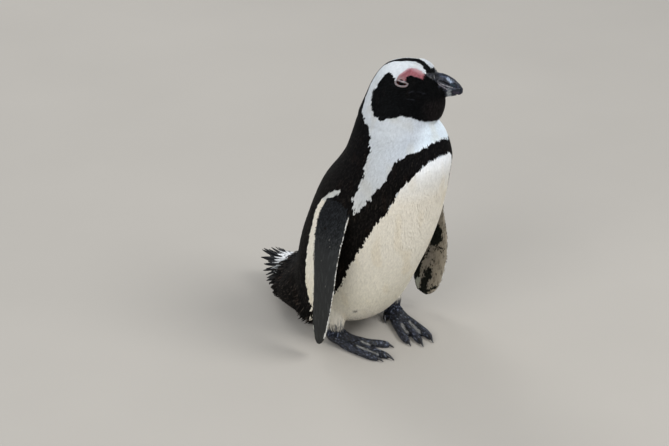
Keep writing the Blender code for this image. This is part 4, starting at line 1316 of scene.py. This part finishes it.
def feather_piece(name, template, roots, chosen):
    """Joins copies of one feather into a piece, each bent over the skin from its own root."""
    shape, faces = template
    get = {key: value[chosen] for key, value in roots.items()}
    count = len(chosen)
    along, across, thick = shape[:, 1], shape[:, 0], shape[:, 2]
    a0 = (1 - along) * (1 - 2 * along)
    a1 = 4 * along * (1 - along)
    a2 = along * (2 * along - 1)
    spine = (get["start"][:, None] * a0[None, :, None] + get["middle"][:, None] * a1[None, :, None]
             + get["end"][:, None] * a2[None, :, None])
    points = (spine + get["side"][:, None] * (across[None, :, None] * get["half"][:, None, None])
              + get["normal"][:, None] * (thick[None, :, None] * get["half"][:, None, None]))
    points = points.reshape(-1, 3)
    points[:, 2] = np.maximum(points[:, 2], LOWEST_FEATHER)
    corners = (faces[None] + (np.arange(count) * len(shape))[:, None, None]).reshape(-1)
    mesh = bpy.data.meshes.new(name)
    mesh.vertices.add(len(points))
    mesh.vertices.foreach_set("co", points.ravel())
    mesh.loops.add(len(corners))
    mesh.loops.foreach_set("vertex_index", corners.astype(np.int32))
    mesh.polygons.add(len(corners) // 3)
    mesh.polygons.foreach_set("loop_start", np.arange(0, len(corners), 3, dtype=np.int32))
    mesh.update(calc_edges=True)
    mesh.shade_flat()
    # Each feather is darker towards its root, which is painted shade under the feathers that overlap it.
    tint = get["tint"][:, None] * (1 - 0.12 * (1 - along[None, :]) ** 2)
    dark = get["colour"].mean(axis=1) < BLACK_BELOW
    pale_edge = 7.0 * rise(get["fleck"], 0.82, 0.9) * get["worn"]
    tint *= np.where(dark, 0.5 + 1.5 * get["fleck"] ** 2 + pale_edge, 1.0)[:, None]
    colours = (get["colour"][:, None, :] * tint[:, :, None]).reshape(-1, 3)
    paint(mesh, "coat_colour", np.clip(colours, 0, 1))
    flat = get["map"]
    low, high = flat.min(axis=0), flat.max(axis=0)
    flat = 0.01 + 0.98 * (flat - low) / (high - low)
    local = np.stack((across, along - 0.5), axis=1) * (TUFT_PATCH / 2, TUFT_PATCH)
    baked = (flat[:, None] + local[None]).reshape(-1, 2)[corners]
    mesh.uv_layers.new(name="OFBake").data.foreach_set("uv", baked.ravel())
    own = np.tile(np.stack((across * 0.5 + 0.5, along), axis=1), (count, 1))[corners]
    mesh.uv_layers.new(name="barbs").data.foreach_set("uv", own.ravel())
    mesh.materials.append(FEATHER)
    obj = add_object(name, mesh)
    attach(obj, "root")
    print(name, count, "feathers", len(corners) // 3, "triangles")


def hem_share(p, normals, nodes):
    """How far each feather belongs to the torn edge behind the legs."""
    hem = rise(6.4 - p[:, 2], 0, 1.8) * rise(-normals[:, 2], 0.0, 0.35) * rise(normals[:, 2], -0.95, -0.7)
    hem *= rise(round_axis(p), 84, 92) * rise(p[:, 1], -10.0, -4.0) * rise(1.5 - p[:, 1], 0, 2.5)
    return hem * are_in(nodes, "rump", "trunk")


def shag_share(p, nodes, chances):
    """How far each feather stands loose from the rump, as about one in eight does there."""
    shag = rise(-p[:, 1], 11.0, 13.0) * rise(8.5 - p[:, 2], 0.0, 2.0) * rise(p[:, 2], 1.0, 2.0)
    return shag * ~are_in(nodes, *FLIPPERS) * rise(chances, 0.80, 0.95)


def coat_regions(p, nodes):
    """Which feathers go into each piece of the coat."""
    body = ~are_in(nodes, *FLIPPERS, *LEGS)
    right, left = body & (p[:, 0] < 0), body & (p[:, 0] >= 0)
    front, back = round_axis(p) < 90, round_axis(p) >= 90
    head, neck = p[:, 2] > 34.3, (p[:, 2] > 27) & (p[:, 2] <= 34.3)
    upper, lower = (p[:, 2] > 16) & (p[:, 2] <= 27), p[:, 2] <= 16
    return {
        "plumage_head_right": head & right,
        "plumage_head_left": head & left,
        "plumage_neck_front": neck & body & front,
        "plumage_neck_back": neck & body & back,
        "plumage_breast_right": upper & front & right,
        "plumage_breast_left": upper & front & left,
        "plumage_back_right": upper & back & right,
        "plumage_back_left": upper & back & left,
        "plumage_belly_right": lower & front & right,
        "plumage_belly_left": lower & front & left,
        "plumage_rump_right": lower & back & right,
        "plumage_rump_left": lower & back & left,
        "plumage_thighs": are_in(nodes, *LEGS),
        "plumage_flipper_right": are_in(nodes, "flipper_right"),
        "plumage_flipper_left": are_in(nodes, "flipper_left"),
    }


def grow_coat(skin):
    """All the feathers, as one joined piece for each region of the body."""
    coat = Coat(skin)
    picks, shares = scatter(coat, 7)
    rng = np.random.default_rng(8)
    corners = coat.faces[picks]
    places = np.einsum("nk,nkd->nd", shares, coat.points[corners])
    normals = unit(np.einsum("nk,nkd->nd", shares, coat.normals[corners]))
    depths = np.einsum("nk,nk->n", shares, coat.depths[corners])
    nodes = coat.nodes[corners[:, 0]]
    p = in_centimetres(places)
    wing = are_in(nodes, *FLIPPERS)
    length = feather_length(p, nodes) * rng.uniform(0.9, 1.1, len(p))
    flow = lie_of_coat(p, nodes, normals)
    flow = unit(flow + np.cross(flow, normals) * rng.normal(0, 0.07, len(p))[:, None])
    side = unit(np.cross(flow, normals))
    middle, middle_normal = surface_at(places + flow * (length * 0.5)[:, None])
    end, end_normal = surface_at(places + flow * length[:, None])
    lift = depths * rng.uniform(0.88, 1.0, len(p))
    hem = hem_share(p, normals, nodes)
    by_hem = hem > 0.1
    hem *= rng.uniform(0.3, 1.0, len(p))
    shag = shag_share(p, nodes, rng.uniform(0.0, 1.0, len(p)))
    hanging = places + (flow * (1, 1, 0.5) + HEM_SWAY) * (length * (1 + HEM_EXTRA * hem))[:, None]
    loose = wing * rise(-chord_on_own_side(places), 0.86, 0.97)
    hanging = blend(hanging, places + flow * (length * FLIPPER_EDGE_REACH)[:, None], loose)
    standing = places + flow * (length * SHAG_REACH)[:, None] + normals * SHAG_LIFT
    hanging = blend(hanging, standing, (shag > 0.3) & (hem < 0.05))
    free = np.clip(np.maximum(np.maximum(hem * 1.4, loose), 1.2 * shag), 0, 1)
    halfway = (places + hanging) / 2 + normals * (lift * 0.8)[:, None]
    seen = blend(middle * 0.45 + end * 0.55, places + HEM_COLOUR_FROM, by_hem)
    roots = {
        "start": places - normals * ROOT_DEPTH,
        "middle": blend(middle + middle_normal * (lift * 0.62)[:, None], halfway, free),
        "end": blend(end + end_normal * (lift * 0.95)[:, None], hanging, free),
        "side": side,
        "normal": normals,
        "half": length * HALF_WIDTH + LEAST_HALF_WIDTH,
        "colour": coat_colours(seen, normals, nodes),
        "tint": rng.uniform(0.95, 1.04, len(p)),
        "fleck": rng.uniform(0.0, 1.0, len(p)),
        "worn": (0.03 + 0.55 * rise(13.0 - p[:, 2], 0.0, 5.0)) * (p[:, 2] < 33) * ~wing,
        "map": unwrap(p, normals, nodes),
    }
    blade, scale = vane(VANE_ROWS), vane(SCALE_ROWS)
    for name, chosen in coat_regions(p, nodes).items():
        feather_piece(name, scale if "flipper" in name else blade, roots, np.flatnonzero(chosen))


grow_coat(skin)

# ------------------------------------------------------------------ the tail
TAIL_SPREAD = math.radians(126)
TAIL_SWING = math.radians(7)         # the fan is carried a little to the bird's left
TAIL_ROOT = (-0.135, 0.046)
TAIL_DROOP = 17.0                    # how fast the fan's sides fall away, per metre
VANE_ARCH, SHAFT_HEIGHT, LOWEST_QUILL = 0.0006, 0.0006, 0.0005
VANE_HALF_DEPTH = {"quill": 0.0004, "covert": 0.0003, "dark_covert": 0.0003}
QUILL_HALF = ((0.0, 0.5), (0.25, 0.9), (0.6, 1.0), (0.85, 0.75), (0.96, 0.4), (1.0, 0.08))
# How far each kind of feather reaches back, in metres, across the fan from the bird's right to its left.
TAIL_REACH = {
    "quill": ((0.0, 0.051), (0.2, 0.066), (0.28, 0.075), (0.35, 0.087), (0.39, 0.095), (0.43, 0.095),
              (0.5, 0.089), (0.62, 0.080), (0.75, 0.067), (0.88, 0.057), (1.0, 0.050)),
    "covert": ((0.0, 0.049), (0.1, 0.052), (0.17, 0.056), (0.24, 0.059), (0.32, 0.062), (0.46, 0.067),
               (0.54, 0.068), (0.7, 0.058), (1.0, 0.040)),
    "dark_covert": ((0.0, 0.041), (0.4, 0.037), (0.6, 0.040), (1.0, 0.040)),
}
# Rows over the fan: kind, how many, start, share of the reach, half width, height at the start and at the
# tip, and how uneven their lengths are.
TAIL_ROWS = (("quill", 27, 0.004, 1.00, 0.0024, 0.0000, 0.0000, 0.04),
             ("quill", 31, 0.004, 0.95, 0.0021, 0.0016, 0.0012, 0.12),
             ("quill", 29, 0.004, 0.89, 0.0021, -0.0014, -0.0010, 0.14),
             ("covert", 44, 0.020, 1.00, 0.0015, 0.0080, 0.0036, 0.20),
             ("covert", 36, 0.018, 0.90, 0.0018, 0.0110, 0.0052, 0.22),
             ("covert", 26, 0.020, 0.72, 0.0028, -0.0036, -0.0026, 0.14),
             ("dark_covert", 34, 0.004, 1.00, 0.0022, 0.0230, 0.0085, 0.20),
             ("dark_covert", 30, 0.002, 0.84, 0.0024, 0.0270, 0.0130, 0.15))


def tail_feather(row, number, rng):
    """One feather of the fan: a long stiff vane with a raised shaft."""
    kind, count, start, part, widest, root_level, tip_level, uneven = row
    bm = bmesh.new()
    bmesh.ops.create_grid(bm, x_segments=4, y_segments=14, size=0.5)
    made = bmesh.ops.extrude_face_region(bm, geom=list(bm.faces))["geom"]
    upper = {item for item in made if isinstance(item, bmesh.types.BMVert)}
    across_fan = (number + 0.5) / count
    swing = TAIL_SPREAD * (across_fan - 0.5) + TAIL_SWING + rng.uniform(-0.03, 0.03)
    end = table(across_fan, TAIL_REACH[kind]) * part * (1 - rng.uniform(0, uneven))
    tilt, bend = rng.uniform(-0.3, 0.3), rng.uniform(-0.05, 0.05)
    shift = rng.uniform(-0.0006, 0.0006)
    marks = []
    for vert in bm.verts:
        along, across = vert.co.y + 0.5, vert.co.x * 2
        out = across * table(along, QUILL_HALF) * widest
        reach = start + along * (end - start)
        turn = swing + bend * along * along
        side = reach * math.sin(turn) + out * math.cos(turn)
        back = reach * math.cos(turn) - out * math.sin(turn)
        droop = TAIL_DROOP * side * side / (1 + (max(side, 0.0) / 0.045) ** 2)
        lie = root_level + (tip_level - root_level) * along
        lie += shift + VANE_ARCH * (1 - abs(across)) + tilt * out
        body = VANE_HALF_DEPTH[kind] * (1 if vert in upper else -1) * (1 - 0.5 * along)
        shaft = SHAFT_HEIGHT * (1 - along) * (abs(across) < 0.2) * (vert in upper) * (kind == "quill")
        vert.co = Vector((side, back - TAIL_ROOT[0], TAIL_ROOT[1] - droop + lie + body + shaft))
        marks.append((along, across, kind == "covert", kind == "dark_covert", across_fan))
    bmesh.ops.recalc_face_normals(bm, faces=bm.faces)
    return bm, marks


def tail_feathers():
    """All the quills and coverts of the fan, as one piece."""
    rng = np.random.default_rng(61)
    whole = bmesh.new()
    marks = []
    for row in TAIL_ROWS:
        for number in range(row[1]):
            one, places = tail_feather(row, number, rng)
            loose = bpy.data.meshes.new("tail_feather")
            one.to_mesh(loose)
            one.free()
            whole.from_mesh(loose)
            shade = rng.uniform(0.8, 1.1)
            marks.extend(place + (shade,) for place in places)
    obj = from_bmesh("tail_feathers", whole)
    marks = np.array(marks)
    points = points_of(obj.data) + FEET_CENTRE
    points[:, 2] = np.maximum(points[:, 2], LOWEST_QUILL)
    move_points(obj.data, points)
    along, across, covert, dark, across_fan = marks[:, :5].T
    black = plain("#0c0d10", len(points))
    worn = rise(np.abs(across), 0.6, 1.0) * rise(ripple(points, 0.004, 62), 0.2, 1.2)
    black = blend(black, linear("#4a4948"), 0.6 * worn)
    pale_root = rise(0.50 - along + 0.12 * ripple(points, 0.004, 63), 0.0, 0.12)
    black = blend(black, linear("#8e8d8b"), 0.6 * (1 - dark) * pale_root)
    black = blend(black, linear("#0a0808"), dark)
    white = blend(plain("#f6f7f8", len(points)), linear("#a0a09f"),
                  rise(along + 0.25 * ripple(points, 0.004, 64), 0.95, 1.25))
    white = blend(white, linear("#7b8181"), 0.8 * rise(0.36 - across_fan, 0.0, 0.14))
    colours = blend(black, white, covert) * marks[:, 5:6]
    paint(obj.data, "coat_colour", np.clip(colours, 0, 1))
    uv = obj.data.uv_layers.new(name="barbs")
    flat = np.stack((across / 2 + 0.5, along * 4), axis=1)
    uv.data.foreach_set("uv", flat[corners_of(obj.data)].ravel())
    obj.data.materials.append(TAIL)
    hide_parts("tail")
    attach(obj, "root")


tail_feathers()

# ------------------------------------------------------------------ floor, light and camera
CAMERA_PLACE = (-1.6759, -1.9114, 1.385)
CAMERA_AIM = (0.58772, 0.68042, -0.43774)
FRAME_WIDTH, FOCAL_WIDTHS = 36.0, 3.104634
# Each softbox: name, place, size and power.
SOFTBOXES = (("key_softbox", (0.9, -2.1, 2.6), 1.6, 54.0),
             ("fill_softbox", (-2.6, -0.9, 1.7), 1.8, 38.0),
             ("rim_softbox", (0.5, 2.4, 2.2), 1.5, 26.0))


def studio():
    """A floor, a soft room, three softboxes and the camera."""
    bm = bmesh.new()
    bmesh.ops.create_grid(bm, x_segments=1, y_segments=1, size=9.0)
    floor = from_bmesh("studio_floor", bm)
    material, tree, surface = new_material("matt_pale_paper")
    place = node(tree, "TexCoord").outputs["Object"]
    toned, _ = varied(tree, (*linear("#b0aba3"),), place, 3.0, 0.98, 1.02)
    tree.links.new(toned, surface.inputs["Base Color"])
    shine(surface, Roughness=0.9, Specular_IOR_Level=0.2)
    floor.data.materials.append(material)
    world = bpy.data.worlds.new("soft_room")
    world.use_nodes = True
    backdrop = world.node_tree.nodes["Background"]
    backdrop.inputs["Color"].default_value = (*linear("#e9eef5"), 1)
    backdrop.inputs["Strength"].default_value = 0.70
    bpy.context.scene.world = world
    middle = Vector((solid_box[0] + solid_box[1]) / 2)
    for name, place, size, power in SOFTBOXES:
        lamp = bpy.data.lights.new(name, "AREA")
        lamp.shape, lamp.size, lamp.energy = "DISK", size, power
        holder = bpy.data.objects.new(name, lamp)
        holder.location = place
        holder.rotation_mode = "QUATERNION"
        holder.rotation_quaternion = (middle - Vector(place)).to_track_quat("-Z", "Y")
        bpy.context.scene.collection.objects.link(holder)
    bpy.context.scene.view_settings.view_transform = "Standard"
    camera = bpy.data.cameras.new("camera")
    camera.sensor_fit, camera.sensor_width = "HORIZONTAL", FRAME_WIDTH
    camera.lens = FRAME_WIDTH * FOCAL_WIDTHS
    camera.clip_start, camera.clip_end = 0.05, 60
    viewer = bpy.data.objects.new("camera", camera)
    viewer.location = CAMERA_PLACE
    viewer.rotation_mode = "QUATERNION"
    viewer.rotation_quaternion = Vector(CAMERA_AIM).to_track_quat("-Z", "Y")
    bpy.context.scene.collection.objects.link(viewer)
    bpy.context.scene.camera = viewer


studio()
